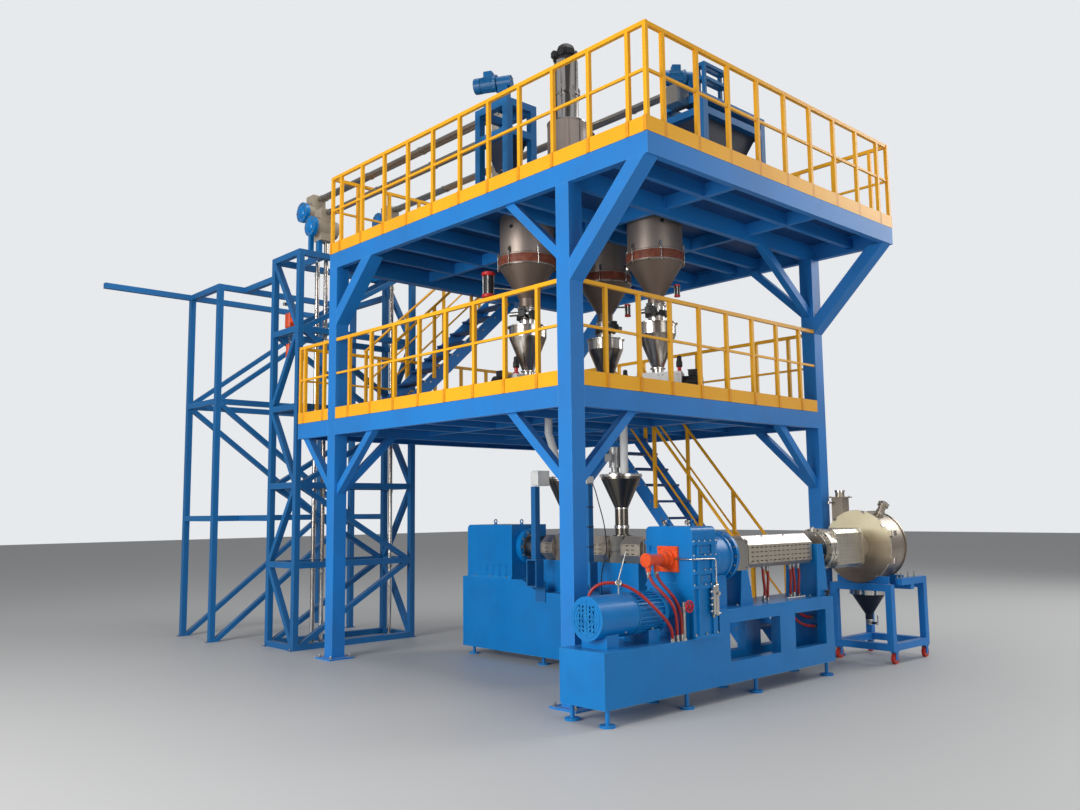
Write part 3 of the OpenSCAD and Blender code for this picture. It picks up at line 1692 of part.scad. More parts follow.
disc_t = 20;
outlet_neck_d = 240;
drum_d = hood_d - 40;
ring_z = 830;
ring_w = 80;
cradle_t = 12;
tr_x0 = 4230;
caster_x = [tr_x0 + 90, tr_x0 + 90 + wheelbase];
tr_x1 = caster_x[1] + 50;
caster_rows = [caster_y, -215];
cradle_x = [hood_x + 24, hood_x + hood_l - disc_t - cradle_t - 8];
tr_y0 = caster_y - 40;
tr_y1 = caster_rows[1] + 40;
sill_z = 150;

module pelletizer_hood() {
  duct = [150, 150];
  duct_top = ds_z + drum_d / 2 + 175;
  color([0.74, 0.71, 0.64]) {
    translate([hood_x, ds_y, ds_z])
      rotate([0, 90, 0]) {
        cylinder(d = hood_d, h = disc_t, $fn = 128);
        cylinder(d = drum_d, h = hood_l, $fn = 128);
        translate([0, 0, hood_l - disc_t]) cylinder(d = hood_d - 16, h = disc_t, $fn = 128);
      }
    translate([hood_x + 60, ds_y + 200, ds_z]) cube([duct.x, duct.y, duct_top - ds_z]);
    translate([hood_x + 30, ds_y + 170, duct_top - 1]) cube([duct.x + 60, duct.y + 60, 14]);
    translate([hood_x + 60 + duct.x / 2, ds_y + 200 + duct.y / 2, duct_top])
      cylinder(d = 110, h = 95, $fn = 48);
    translate([hood_x + hood_l / 2, ds_y, ds_z])
      rotate([27, 0, 0]) {
        cylinder(d = 90, h = drum_d / 2 + 170, $fn = 48);
        translate([0, 0, drum_d / 2 + 120]) cylinder(d = 130, h = 16, $fn = 48);
        translate([0, 0, drum_d / 2 + 150]) cylinder(d = 130, h = 16, $fn = 48);
        translate([0, 0, drum_d / 2 - 20]) cylinder(d = 120, h = 34, $fn = 48);
      }
    translate([hood_x + hood_l / 2, ds_y, ring_z])
      cylinder(d = outlet_neck_d, h = ds_z - ring_z - drum_d / 2 + 60, $fn = 64);
    for (z = [ds_z - 160, ds_z + 160])
      translate([hood_x, ds_y - hood_d / 2 - 4, z - 30]) cube([hood_l * 0.35, 90, 60]);
  }
}

module pellet_funnel() {
  color([0.20, 0.20, 0.20])
    translate([hood_x + hood_l / 2, ds_y, 0]) {
      rotate_extrude($fn = 64)
        polygon([
          [0, 470], [45, 470], [45, 530], [200, 780], [215, 780], [215, ring_z], [100, ring_z],
          [100, ring_z - 10], [195, ring_z - 10], [195, 782], [40, 534], [0, 534]
        ]);
      translate([0, 0, 400]) cylinder(d = 60, h = 71, $fn = 40);
      translate([0, 0, 425])
        rotate([90, 0, 0]) cylinder(d = 30, h = 90, $fn = 32);
    }
}

module hood_trolley() {
  shelf_x0 = 4500;
  shelf_z = ring_z + 60;
  cross_x = hood_x + hood_l + 20;
  color(blue) {
    block([tr_x0, tr_y0, ring_z], [tr_x0 + ring_w, tr_y1, ring_z + ring_w]);
    block([tr_x1 - ring_w, tr_y0, ring_z], [tr_x1, tr_y1, ring_z + ring_w]);
    block([tr_x0, tr_y1 - ring_w, ring_z], [tr_x1, tr_y1, ring_z + ring_w]);
    block([cross_x, tr_y0, ring_z], [cross_x + ring_w, tr_y1, ring_z + ring_w]);
    block([shelf_x0, tr_y0, shelf_z], [tr_x1, tr_y0 + ring_w, shelf_z + ring_w]);
    difference() {
      block([tr_x0, tr_y0, sill_z], [tr_x1, tr_y1, sill_z + ring_w]);
      block(
        [tr_x0 + ring_w, tr_y0 + ring_w, sill_z - 1],
        [tr_x1 - ring_w, tr_y1 - ring_w, sill_z + ring_w + 1]
      );
    }
    for (x = [tr_x0, tr_x1 - ring_w], y = [tr_y0, tr_y1 - ring_w])
      block([x, y, sill_z], [x + ring_w, y + ring_w, ring_z + 1]);
    for (x = cradle_x)
      difference() {
        block([x, tr_y0 + 60, ring_z + ring_w - 1], [x + cradle_t, tr_y1 - 60, ring_z + 170]);
        translate([x - 1, ds_y, ds_z])
          rod_x(drum_d + 2 * seat_gap, cradle_t + 2, 128);
      }
    for (x = caster_x, y = caster_rows)
      translate([x, y, 0]) caster_fork();
  }
}

axle_d = 20;
fork_t = 6;
fork_gap = 6;
running_fit = 0.05;

module caster_fork() {
  side = wheel_w / 2 + fork_gap;
  top = wheel_d + 6;
  translate([-45, -side - fork_t, top]) cube([90, 2 * (side + fork_t), sill_z - top + 1]);
  for (y = [-side - fork_t, side])
    translate([-25, y, wheel_d / 2 - 20]) cube([50, fork_t, top - wheel_d / 2 + 21]);
  translate([0, side + fork_t, wheel_d / 2])
    rotate([90, 0, 0]) cylinder(d = axle_d, h = 2 * (side + fork_t), $fn = 48);
}

module caster_pair(x) {
  color([0.75, 0.12, 0.08])
    for (y = caster_rows)
      translate([x, y + wheel_w / 2, wheel_d / 2])
        rotate([90, 0, 0])
          difference() {
            cylinder(d = wheel_d, h = wheel_w, $fn = 72);
            translate([0, 0, -1]) cylinder(d = axle_d + 2 * running_fit, h = wheel_w + 2, $fn = 48);
          }
}

module front_casters() {
  caster_pair(caster_x[0]);
}

module rear_casters() {
  caster_pair(caster_x[1]);
}

columns();
column_base_plates();
lower_deck_frame();
lower_deck_plate();
upper_deck_frame();
upper_deck_plate();
lower_knee_braces();
upper_knee_braces();
lower_side_railings();
lower_end_railings();
upper_side_railings();
upper_end_railings();
stair_stringers();
stair_treads();
stair_landing();
stair_handrails();
day_hoppers();
hopper_clamp_bands();
feeder_hoppers();
feeder_housings();
feeder_motors();
station_frames();
station_drives();
station_hoppers();
vacuum_loader();
loader_blower();
dust_filter();
screw_conveyor_tubes();
tower_side_lattices();
tower_face_lattices();
lift_tubes();
lift_heads();
lift_drives();
hoist_posts();
hoist_rungs();
hoist_diagonals();
hoist_cross_beams();
drop_pipes();
sloped_chute();
kneader_base();
kneader_gearbox();
kneader_barrel();
kneader_barrel_covers();
transfer_duct();
feed_hoppers();
feed_hopper_drives();
service_posts();
discharge_frame();
drive_motor();
discharge_gearbox();
rotary_union();
discharge_barrel();
discharge_barrel_cover();
die_head();
pelletizer_hood();
pellet_funnel();
hood_trolley();
front_casters();
rear_casters();
coolant_hoses();
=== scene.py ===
"""Looks of the plastic extruder plant: kneader, discharge screw, pelletizer, dosing platform."""

from itertools import product
from math import copysign, cos, pi, radians, sin

import bmesh
import bpy
from mathutils import Matrix, Vector


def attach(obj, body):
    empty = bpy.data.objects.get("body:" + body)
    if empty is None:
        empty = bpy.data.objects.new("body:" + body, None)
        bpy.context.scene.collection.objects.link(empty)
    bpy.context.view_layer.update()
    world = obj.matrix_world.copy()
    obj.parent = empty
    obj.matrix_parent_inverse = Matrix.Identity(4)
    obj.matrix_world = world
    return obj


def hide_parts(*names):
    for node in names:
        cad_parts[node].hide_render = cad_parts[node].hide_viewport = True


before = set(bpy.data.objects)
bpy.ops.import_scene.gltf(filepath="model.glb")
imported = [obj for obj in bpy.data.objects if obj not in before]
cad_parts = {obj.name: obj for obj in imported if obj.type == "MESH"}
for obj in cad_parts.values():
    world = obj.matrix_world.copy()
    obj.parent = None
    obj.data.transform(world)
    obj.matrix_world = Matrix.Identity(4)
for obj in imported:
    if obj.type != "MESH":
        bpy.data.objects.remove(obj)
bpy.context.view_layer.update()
scene = bpy.context.scene


# Camera: the photo's own viewpoint, at eye height over the floor in front of the near column,
# looking slightly up along the plant.
camera = bpy.data.objects.new("camera", bpy.data.cameras.new("camera"))
scene.collection.objects.link(camera)
camera.data.sensor_width = 36
camera.data.lens = 31.42
camera.data.clip_end = 200
camera.matrix_world = (
    Matrix.Translation((-6.302, -6.358, 1.82))
    @ Matrix.Rotation(radians(-42.829), 4, "Z")
    @ Matrix.Rotation(radians(90 + 6.354), 4, "X")
    @ Matrix.Rotation(radians(-0.617), 4, "Z")
)
scene.camera = camera


# Floor and light: a smooth pale hall floor under an even sky. Four wide soft lamps stand to the
# left, in front, on the window side and overhead.
scene.view_settings.view_transform = "Standard"
scene.world = bpy.data.worlds.new("hall")
scene.world.use_nodes = True
sky = scene.world.node_tree
sky.nodes.clear()
path = sky.nodes.new("ShaderNodeLightPath")
pick = sky.nodes.new("ShaderNodeMixShader")
sky.links.new(path.outputs["Is Camera Ray"], pick.inputs[0])
for slot, colour, strength in ((1, (0.94, 0.96, 1.0, 1), 0.34), (2, (0.8, 0.82, 0.84, 1), 1.0)):
    glow = sky.nodes.new("ShaderNodeBackground")
    glow.inputs["Color"].default_value = colour
    glow.inputs["Strength"].default_value = strength
    sky.links.new(glow.outputs[0], pick.inputs[slot])
sky.links.new(pick.outputs[0], sky.nodes.new("ShaderNodeOutputWorld").inputs["Surface"])

slab = bmesh.new()
bmesh.ops.create_grid(slab, x_segments=1, y_segments=1, size=60)
floor_mesh = bpy.data.meshes.new("hall_floor")
slab.to_mesh(floor_mesh)
slab.free()
hall_floor = bpy.data.objects.new("hall_floor", floor_mesh)
scene.collection.objects.link(hall_floor)
screed = bpy.data.materials.new("screed")
screed.use_nodes = True
surface = screed.node_tree.nodes["Principled BSDF"].inputs
surface["Base Color"].default_value = (0.5, 0.5, 0.49, 1)
surface["Roughness"].default_value = 0.5
floor_mesh.materials.append(screed)

for name, place, target, size, power in (
    ("left_side", (-12, 1, 4.5), (1.5, 1.5, 2.0), 6, 1350),
    ("front", (-1, -14, 4), (2.2, 0.0, 1.5), 6, 420),
    ("window_side", (15, -4, 9), (2.2, 1.5, 2.5), 7, 800),
    ("overhead", (2, 0, 15), (2.2, 2.0, 2.5), 8, 900),
):
    light = bpy.data.lights.new(name, "AREA")
    light.size = size
    light.energy = power
    lamp = bpy.data.objects.new(name, light)
    scene.collection.objects.link(lamp)
    lamp.location = place
    lamp.rotation_euler = (Vector(target) - Vector(place)).to_track_quat("-Z", "Y").to_euler()


# Platform steel: welded channels and square tubes under one coat of blue shop paint. The colour
# wanders slightly, edges are painted pale, partly as rubbed wear and partly as a painted highlight,
# and dust lies on the faces that look up.
def finish(name, colour, rough, metallic=0.0, other=None, patch=1.2, grain=55.0, stretch=(1, 1, 1),
           bump=0.12, spread=(0.42, 0.7), amount=0.6, edge=None, edge_r=0.006, dust_and_sheen=0.25,
           dust_and_sheen_colour=(0.42, 0.4, 0.37), coat=0.0, chequer=0.0, zones=()):
    """A finish: soft patches of a second colour, a fine grain, tinted edges that are partly rubbed wear
    and partly a painted highlight, and a layer on up-facing faces that is settled dust on most finishes
    and a painted sheen on the barrel cover. A zone (axis, place, run, colour, roughness, metallic)
    changes it past a place on one axis."""
    material = bpy.data.materials.new(name)
    material.use_nodes = True
    tree = material.node_tree

    def fill(made, inputs):
        for key, value in inputs.items():
            if isinstance(value, bpy.types.NodeSocket):
                tree.links.new(value, made.inputs[key])
            else:
                made.inputs[key].default_value = value

    def node(kind, inputs, **settings):
        made = tree.nodes.new("ShaderNode" + kind)
        for key, value in settings.items():
            setattr(made, key, value)
        fill(made, inputs)
        return made.outputs

    own = node("TexCoord", {})
    lie = node("Mapping", {"Scale": stretch, "Vector": own["Object"]})[0]

    def noise(scale, detail):
        return node("TexNoise", {"Vector": lie, "Scale": scale, "Detail": detail, "Roughness": 0.62})["Fac"]

    def ranged(value, low, high, to_low, to_high):
        ends = {"From Min": low, "From Max": high, "To Min": to_low, "To Max": to_high}
        return node("MapRange", {"Value": value, **ends})[0]

    def joined(a, b, operation="MULTIPLY"):
        return node("Math", {0: a, 1: b}, operation=operation)[0]

    def over(base, layer, factor):
        return node("Mix", {"A": base, "B": (*layer, 1), "Factor": factor}, data_type="RGBA")["Result"]

    def lozenges(angle):
        spun = node("Mapping", {"Rotation": (0, 0, radians(angle)), "Vector": own["Object"]})[0]
        narrow = node("Mapping", {"Scale": (17, 34, 1), "Vector": spun})[0]
        cells = node(
            "TexVoronoi", {"Vector": narrow, "Randomness": 0.0, "Scale": 1.0},
            voronoi_dimensions="2D", feature="F1", distance="CHEBYCHEV",
        )
        return ranged(cells["Distance"], 0.24, 0.3, 1, 0)

    cloud = noise(patch, 6)
    fine = noise(grain, 3)
    other = other or [c * 0.72 for c in colour]
    shade = over((*colour, 1), other, ranged(cloud, *spread, 0, amount))
    polish = ranged(fine, 0, 1, rough * 0.75, min(1.0, rough * 1.3))
    metal = metallic
    for axis, border, run, zone_colour, zone_rough, zone_metallic in zones:
        past = ranged(node("SeparateXYZ", {0: own["Object"]})[axis], border, border + run, 0, 1)
        shade = over(shade, zone_colour, joined(past, ranged(cloud, 0.3, 0.7, 1, 0.7)))
        polish = node("Mix", {"Factor": past, "A": polish, "B": zone_rough})["Result"]
        metal = node("Mix", {"Factor": past, "A": metal, "B": zone_metallic})["Result"]
    # Up-facing faces: settled dust on most finishes, a painted sheen on the barrel cover.
    upward = ranged(node("SeparateXYZ", {0: own["Normal"]})["Z"], 0.5, 1.0, 0, dust_and_sheen)
    shade = over(shade, dust_and_sheen_colour, joined(upward, ranged(noise(3.1, 5), 0.35, 0.65, 0.3, 1)))
    # Edge tint: partly rubbed wear, partly a painted highlight on edges that catch the light.
    if edge:
        rounded = node("Bevel", {"Radius": edge_r}, samples=4)[0]
        flat = node("NewGeometry", {})["Normal"]
        turn = node("VectorMath", {0: rounded, 1: flat}, operation="DOT_PRODUCT")["Value"]
        edge_wear_and_highlight = ranged(turn, 0.8, 0.99, 1, 0)
        shade = over(shade, edge, joined(edge_wear_and_highlight, ranged(noise(14, 4), 0.38, 0.6, 0.15, 0.9)))
    relief = fine
    if chequer:
        bars = joined(lozenges(45), lozenges(-45), "MAXIMUM")
        relief = joined(ranged(bars, 0, 1, 0, chequer), ranged(fine, 0, 1, 0, 0.1), "ADD")
    dents = node("Bump", {"Strength": bump, "Distance": 0.002, "Height": relief})[0]
    fill(tree.nodes["Principled BSDF"], {
        "Base Color": shade, "Roughness": polish, "Metallic": metal, "Normal": dents,
        "Coat Weight": coat, "Coat Roughness": 0.12, "Specular IOR Level": 0.5 if metallic else 0.32,
    })
    return material


def dress(material, *names):
    """Gives a finish to nodes of the frame."""
    for name in names:
        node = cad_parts[name]
        node.data.materials.clear()
        node.data.materials.append(material)


platform_blue = finish(
    "platform_blue", (0.014, 0.2, 0.58), 0.42, other=(0.022, 0.15, 0.42), edge=(0.14, 0.42, 0.76),
    dust_and_sheen=0.35, bump=0.06,
)
dress(
    platform_blue, "columns", "column_base_plates", "lower_deck_frame", "upper_deck_frame",
    "lower_knee_braces", "upper_knee_braces", "stair_stringers", "stair_landing", "hood_trolley",
)
# A darker copy of the platform blue: painted shade on the station frames, the tower lattices, the hoist and
# the service posts, which carry the same paint.
painted_shade_blue = finish(
    "painted_shade_blue", (0.008, 0.125, 0.34), 0.45, other=(0.014, 0.095, 0.25), edge=(0.1, 0.32, 0.56),
    dust_and_sheen=0.3, bump=0.06,
)
dress(
    painted_shade_blue, "station_frames", "tower_side_lattices", "tower_face_lattices", "hoist_posts",
    "hoist_rungs", "hoist_diagonals", "hoist_cross_beams", "service_posts",
)
zinc = finish("zinc", (0.42, 0.42, 0.4), 0.34, metallic=0.9, other=(0.24, 0.22, 0.19), patch=30, grain=160)


up, left, right, front, rear = (0, 0, 1), (-1, 0, 0), (1, 0, 0), (0, -1, 0), (0, 1, 0)


def facing(place, axis):
    """The turn that brings +Z to an axis, at a place."""
    return Matrix.Translation(place) @ Vector(axis).to_track_quat("Z", "Y").to_matrix().to_4x4()


def swung(place, angle, axis="Z"):
    """A turn by some degrees round an axis, at a place."""
    return Matrix.Translation(place) @ Matrix.Rotation(radians(angle), 4, axis)

def round_bar(mesh, place, axis, low, high, r0, r1=None, sides=24):
    """A round solid along an axis, between two heights above a place."""
    bmesh.ops.create_cone(
        mesh, cap_ends=True, segments=sides, radius1=r0, radius2=r0 if r1 is None else r1,
        depth=high - low, matrix=facing(place, axis) @ Matrix.Translation((0, 0, (low + high) / 2)),
    )


def plate(mesh, low, high, edge=0.002, turn=None):
    """A plate or bar between two corners, with broken edges."""
    size = Vector(high) - Vector(low)
    middle = Matrix.Translation((Vector(low) + Vector(high)) / 2)
    made = bmesh.ops.create_cube(
        mesh, size=1, matrix=(turn or Matrix.Identity(4)) @ middle @ Matrix.Diagonal((*size, 1)),
    )
    if edge:
        edges = list({e for v in made["verts"] for e in v.link_edges})
        bmesh.ops.bevel(
            mesh, geom=edges, offset=min(edge, min(size) * 0.3), affect="EDGES", segments=1,
            profile=0.5, material=-1,
        )


def fanned(mesh, place, angles, low, high, edge=0.002, axis="Z"):
    """The same plate at several angles round an axis through a place."""
    for angle in angles:
        plate(mesh, low, high, edge, swung(place, angle, axis))


def bolt(mesh, place, axis, across, stud=0.0):
    """A hexagon head on a washer, with the end of its stud where a nut holds it."""
    corner, top = across * 0.577, across * 0.74
    round_bar(mesh, place, axis, 0, across * 0.12, across * 0.92, sides=16)
    round_bar(mesh, place, axis, across * 0.12, across * 0.62, corner, sides=6)
    round_bar(mesh, place, axis, across * 0.62, top, corner, across * 0.46, sides=6)
    if stud:
        end = top + stud
        round_bar(mesh, place, axis, across * 0.7, end, across * 0.32, across * 0.28, sides=10)


def bolts(mesh, xs, ys, zs, axis, across, stud=0.0):
    """Bolts at every crossing of three rows of places."""
    for place in product(xs, ys, zs):
        bolt(mesh, place, axis, across, stud)


def bolt_ring(mesh, place, axis, radius, count, across, start=0.0):
    """Bolts spread evenly on a circle."""
    turn = facing(place, axis)
    for i in range(count):
        angle = start + 2 * pi * i / count
        bolt(mesh, turn @ Vector((radius * cos(angle), radius * sin(angle), 0)), axis, across)


def turned(mesh, place, axis, profile, steps=48):
    """A turned ring or cap: a chain of (radius, height) points spun once round an axis."""
    turn = facing(place, axis)
    points = [mesh.verts.new(turn @ Vector((r, 0, h))) for r, h in profile]
    chain = [mesh.edges.new(pair) for pair in zip(points, points[1:])]
    bmesh.ops.spin(
        mesh, geom=points + chain, cent=place, axis=turn.to_3x3() @ Vector((0, 0, 1)),
        angle=2 * pi, steps=steps, use_merge=True,
    )


def hoop(mesh, place, axis, low, high, r0, r1, steps=48):
    """A flat ring with a square section, from radius r0 to r1."""
    turned(mesh, place, axis, [(r0, low), (r1, low), (r1, high), (r0, high), (r0, low)], steps)


def bead(mesh, place, axis, radius, thick, steps, sides=8):
    """A ring of round wire, or a bead rolled into the edge of a sheet."""
    angles = [2 * pi * k / sides for k in range(sides + 1)]
    section = [(radius + thick * cos(a), thick * sin(a)) for a in angles]
    turned(mesh, place, axis, section, steps)


def placed(data, name, body):
    """Puts mesh or curve data in the scene as a piece that rides on a body."""
    piece = bpy.data.objects.new(name, data)
    scene.collection.objects.link(piece)
    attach(piece, body)
    return piece


def finished(mesh, name, material, body="plant"):
    """Turns a mesh into a piece with a finish."""
    bmesh.ops.remove_doubles(mesh, verts=mesh.verts, dist=1e-6)
    bmesh.ops.recalc_face_normals(mesh, faces=mesh.faces)
    data = bpy.data.meshes.new(name)
    mesh.to_mesh(data)
    mesh.free()
    data.materials.append(material)
    data.shade_smooth()
    data.set_sharp_from_angle(angle=radians(32))
    placed(data, name, body)


# Anchors: the columns stand on thick base plates, the tower and the hoist posts on small ones.
# Studs set in the floor come up through each plate and end in a washer and a nut.
anchors = bmesh.new()
feet = bmesh.new()
for x, y in product((0, 4.35), (0, 4.28)):
    bolts(anchors, (x - 0.135, x + 0.135), (y - 0.135, y + 0.135), (0.02,), up, 0.03, stud=0.018)
for x, y in (*product((-0.05, 1.82), (5.23, 5.95)), *product((-0.45, 1.82), (6.9, 7.9))):
    plate(feet, (x - 0.078, y - 0.038, 0), (x + 0.078, y + 0.038, 0.01))
    bolts(anchors, (x - 0.06, x + 0.06), (y,), (0.01,), up, 0.019, stud=0.01)
finished(anchors, "anchor_nuts", zinc)
finished(feet, "post_feet", painted_shade_blue)


# Decks and treads: chequered steel sheets laid on the joists. The underside is painted a darker
# blue than the frame's paint, as painted shade, and the walked side is worn to grey on its raised
# lozenges.
shaded_deck_paint = finish(
    "shaded_deck_paint", (0.008, 0.07, 0.23), 0.5, other=(0.012, 0.055, 0.17), patch=2.0, chequer=1.0,
    bump=0.55, dust_and_sheen=0.9, dust_and_sheen_colour=(0.13, 0.16, 0.19),
)
dress(shaded_deck_paint, "lower_deck_plate", "upper_deck_plate", "stair_treads")
lower_top, upper_top = 3.006, 5.181


# Railings: square tube and strip in signal yellow, glossier than the frame. Each post is welded
# over the toe board, and short straps cover those welds.
rail_yellow = finish(
    "rail_yellow", (0.92, 0.44, 0.012), 0.32, other=(0.8, 0.34, 0.012), amount=0.5, dust_and_sheen=0.15,
    edge=(0.95, 0.6, 0.12), edge_r=0.004, bump=0.08,
)
dress(
    rail_yellow, "lower_side_railings", "lower_end_railings", "upper_side_railings",
    "upper_end_railings", "stair_handrails",
)
# The straps are a darker yellow than the railings: painted shade for the shadows on the raised strips.
shaded_strap_yellow = finish(
    "shaded_strap_yellow", (0.8, 0.33, 0.01), 0.4, other=(0.62, 0.24, 0.01), amount=0.7, patch=6, dust_and_sheen=0.1,
)
straps = bmesh.new()


def post_straps(start, along, out, length, z, proud=0.009, extra=()):
    """The straps of one railing panel, where its posts cross the toe board."""
    pitch = 0.5
    count = round((length - pitch) / pitch)
    margin = (length - count * pitch) / 2
    for s in [margin + i * pitch for i in range(count + 1)] + list(extra):
        low = Vector(start) + Vector(along) * (s - 0.02)
        high = Vector(start) + Vector(along) * (s + 0.02) + Vector(out) * proud
        ends = [[pick(a, b) for a, b in zip(low, high)] for pick in (min, max)]
        plate(straps, (*ends[0], z), (*ends[1], z + 0.147))


for x, out in ((-0.09, -1), (4.44, 1)):
    post_straps((x, 0.09), (0, 1), (out, 0), 4.1, lower_top)
    post_straps((x, 4.37), (0, 1), (out, 0), 0.78, lower_top)
    post_straps((x, -1.1), (0, 1), (out, 0), 5.47, upper_top, extra=(0.02, 5.45))
post_straps((0.09, -0.09), (1, 0), (0, -1), 4.17, lower_top)
post_straps((-0.045, 5.15), (1, 0), (0, 1), 4.44, lower_top)
post_straps((-0.045, -1.1), (1, 0), (0, -1), 4.44, upper_top, proud=0.0006)
post_straps((-0.045, 4.37), (1, 0), (0, 1), 3.21, upper_top)
finished(straps, "railing_straps", shaded_strap_yellow)


# Stair treads: each is a folded steel plate that hangs between the two stringers. Two screws at
# each end pass through the stringer from outside.
tread_bolts = bmesh.new()
for i in range(1, 14):
    y, z = -0.075 + 0.18 * i, 3.0 * i / 14 - 0.015
    for x, out in ((2.985, -1), (3.625, 1)):
        bolts(tread_bolts, (x,), (y - 0.05, y + 0.05), (z,), (out, 0, 0), 0.017)
for i in range(1, 10):
    x, z = 0.795 + 0.2415 * i, lower_top + 2.169 * i / 10 - 0.015
    for y, out in ((4.41, -1), (5.05, 1)):
        bolts(tread_bolts, (x - 0.05, x + 0.05), (y,), (z,), (0, out, 0), 0.017)
finished(tread_bolts, "tread_bolts", zinc)


# Hoppers, vessels and tubes: rolled and welded stainless sheet with a ground finish, streaked
# down the wall; on the bright steel and the loader the strong vertical bands of light and dark are
# painted reflections. Hook latches hold each day hopper's cone to its upper part, over beaded rims.
ground_steel = finish(
    "ground_steel", (0.46, 0.43, 0.39), 0.3, metallic=1.0, other=(0.3, 0.27, 0.24),
    patch=2.6, grain=90, stretch=(1, 1, 0.1), bump=0.05, dust_and_sheen=0.15,
)
# Bright steel: its high-contrast vertical bands are painted reflections.
bright_steel = finish(
    "bright_steel", (0.72, 0.68, 0.63), 0.22, metallic=1.0, other=(0.26, 0.23, 0.2), amount=0.9,
    patch=7.0, grain=110, stretch=(1, 1, 0.06), spread=(0.46, 0.58), bump=0.04, dust_and_sheen=0.1,
)
dull_steel = finish(
    "dull_steel", (0.36, 0.295, 0.25), 0.44, metallic=0.7, other=(0.2, 0.155, 0.13),
    patch=1.8, grain=70, stretch=(1, 1, 0.2), bump=0.06, dust_and_sheen=0.2,
    zones=((2, 4.595, -0.001, (0.17, 0.125, 0.098), 0.46, 0.7),),
)
# Loader steel: near-white and near-black vertical bands, painted reflections on a polished vessel; below
# the joint the drum is a duller brushed steel.
loader_steel = finish(
    "loader_steel", (0.8, 0.76, 0.72), 0.2, metallic=1.0, other=(0.12, 0.1, 0.09), amount=0.95,
    patch=9.0, grain=110, stretch=(1, 1, 0.03), spread=(0.47, 0.55), bump=0.04, dust_and_sheen=0.1,
    zones=((2, 6.401, -0.001, (0.34, 0.27, 0.23), 0.5, 0.35),),
)
dress(dull_steel, "day_hoppers")
dress(loader_steel, "vacuum_loader")
dress(bright_steel, "feeder_hoppers", "lift_tubes")
dress(ground_steel, "screw_conveyor_tubes", "kneader_barrel", "discharge_barrel", "transfer_duct")

hopper_axes = ((1.85, 0.47), (0.85, 1.55), (2.15, 1.55))
seam_turns = (-100, -142, -118)
seams, rims, latches, ports = (bmesh.new() for _ in range(4))
for (x, y), seam in zip(hopper_axes, seam_turns):
    foot = (x, y, 0)
    fanned(seams, foot, (seam, seam + 178), (0.3145, -0.01, 4.712), (0.3175, 0.01, 5.172), 0.0008)
    for z in (4.588, 4.711):
        bead(rims, (x, y, z), up, 0.329, 0.006, 64)
    latch_turns = [seam - 28 + 60 * k for k in range(6)]
    for low, high in (((0.328, -0.013, 4.712), (0.34, 0.013, 4.792)),
                      ((0.338, -0.006, 4.735), (0.352, 0.006, 4.775)),
                      ((0.33, -0.01, 4.57), (0.352, 0.01, 4.588))):
        fanned(latches, foot, latch_turns, low, high)
    for angle in latch_turns:
        hook = swung(foot, angle) @ Vector((0.344, 0, 0))
        round_bar(latches, hook, up, 4.585, 4.74, 0.0045, sides=8)
    for z, axis in ((4.13, 1), (4.11, -1)):
        bolt_ring(latches, (x, y, z), (0, 0, axis), 0.106, 8, 0.013, start=0.39)
    out = swung((0, 0, 0), seam - 24) @ Vector((0.313, 0, 0))
    for low, high, r in ((0, 0.012, 0.021), (0.012, 0.018, 0.013)):
        round_bar(ports, (x + out.x, y + out.y, 5.02), out, low, high, r, sides=20)
finished(seams, "hopper_seams", dull_steel)
finished(rims, "hopper_rim_beads", bright_steel)
finished(latches, "hopper_latches", bright_steel)


# Clamp bands: a strip of red-brown primed steel segments round each day hopper, riveted to its
# backing and scuffed by the latches.
band_brown = finish(
    "band_brown", (0.15, 0.032, 0.016), 0.5, other=(0.3, 0.1, 0.05), patch=11, grain=30,
    bump=0.5, edge=(0.4, 0.22, 0.14), edge_r=0.004,
)
dress(band_brown, "hopper_clamp_bands")
segments = bmesh.new()
for (x, y), seam in zip(hopper_axes, seam_turns):
    for z in (4.612, 4.655):
        low, high = (0.3265, -0.034, z), (0.3315, 0.034, z + 0.033)
        fanned(segments, (x, y, 0), [seam + 15 * k for k in range(24)], low, high, 0.0015)
finished(segments, "band_segments", band_brown)


# Small motors, valves and the loader's blower: black cast bodies. Shakers with red caps knock
# on the cones, held by four thin rods each, and valves turn on shafts under the hoppers.
cast_black = finish(
    "cast_black", (0.016, 0.016, 0.018), 0.42, other=(0.035, 0.033, 0.03), patch=7,
    edge=(0.1, 0.1, 0.1), edge_r=0.003,
)
cap_red = finish("cap_red", (0.52, 0.018, 0.02), 0.34, other=(0.36, 0.015, 0.012), patch=12)
dress(cast_black, "feeder_motors", "loader_blower")
finished(ports, "hopper_ports", cast_black)

shakers, shaker_caps, shaker_arms = (bmesh.new() for _ in range(3))
for x, y, z, (ax, ay), scale in ((0.4, 1.71, 4.21, hopper_axes[1], 1.15),
                                 (2.02, 0.3, 4.215, hopper_axes[0], 0.55),
                                 (2.36, 1.36, 4.2, hopper_axes[2], 0.6)):
    round_bar(shakers, (x, y, z), up, 0.03 * scale, 0.23 * scale, 0.047 * scale)
    for angle in (45, 135, 225, 315):
        rod = swung((x, y, z), angle) @ Vector((0.052 * scale, 0, 0))
        round_bar(shaker_arms, rod, up, 0.0, 0.26 * scale, 0.005, sides=8)
    for low in (0.0, 0.22 * scale):
        turned(shaker_caps, (x, y, z + low), up, [
            (0, 0), (0.058 * scale, 0), (0.066 * scale, 0.008), (0.066 * scale, 0.03 * scale),
            (0.058 * scale, 0.038 * scale), (0, 0.038 * scale),
        ], steps=32)
    to_axis = Vector((ax - x, ay - y, 0))
    reach = to_axis.length - (0.095 + 0.22 * (z + 0.12 - 4.23) / 0.37)
    round_bar(shaker_arms, (x, y, z + 0.12), to_axis, 0.03, reach, 0.011, sides=12)
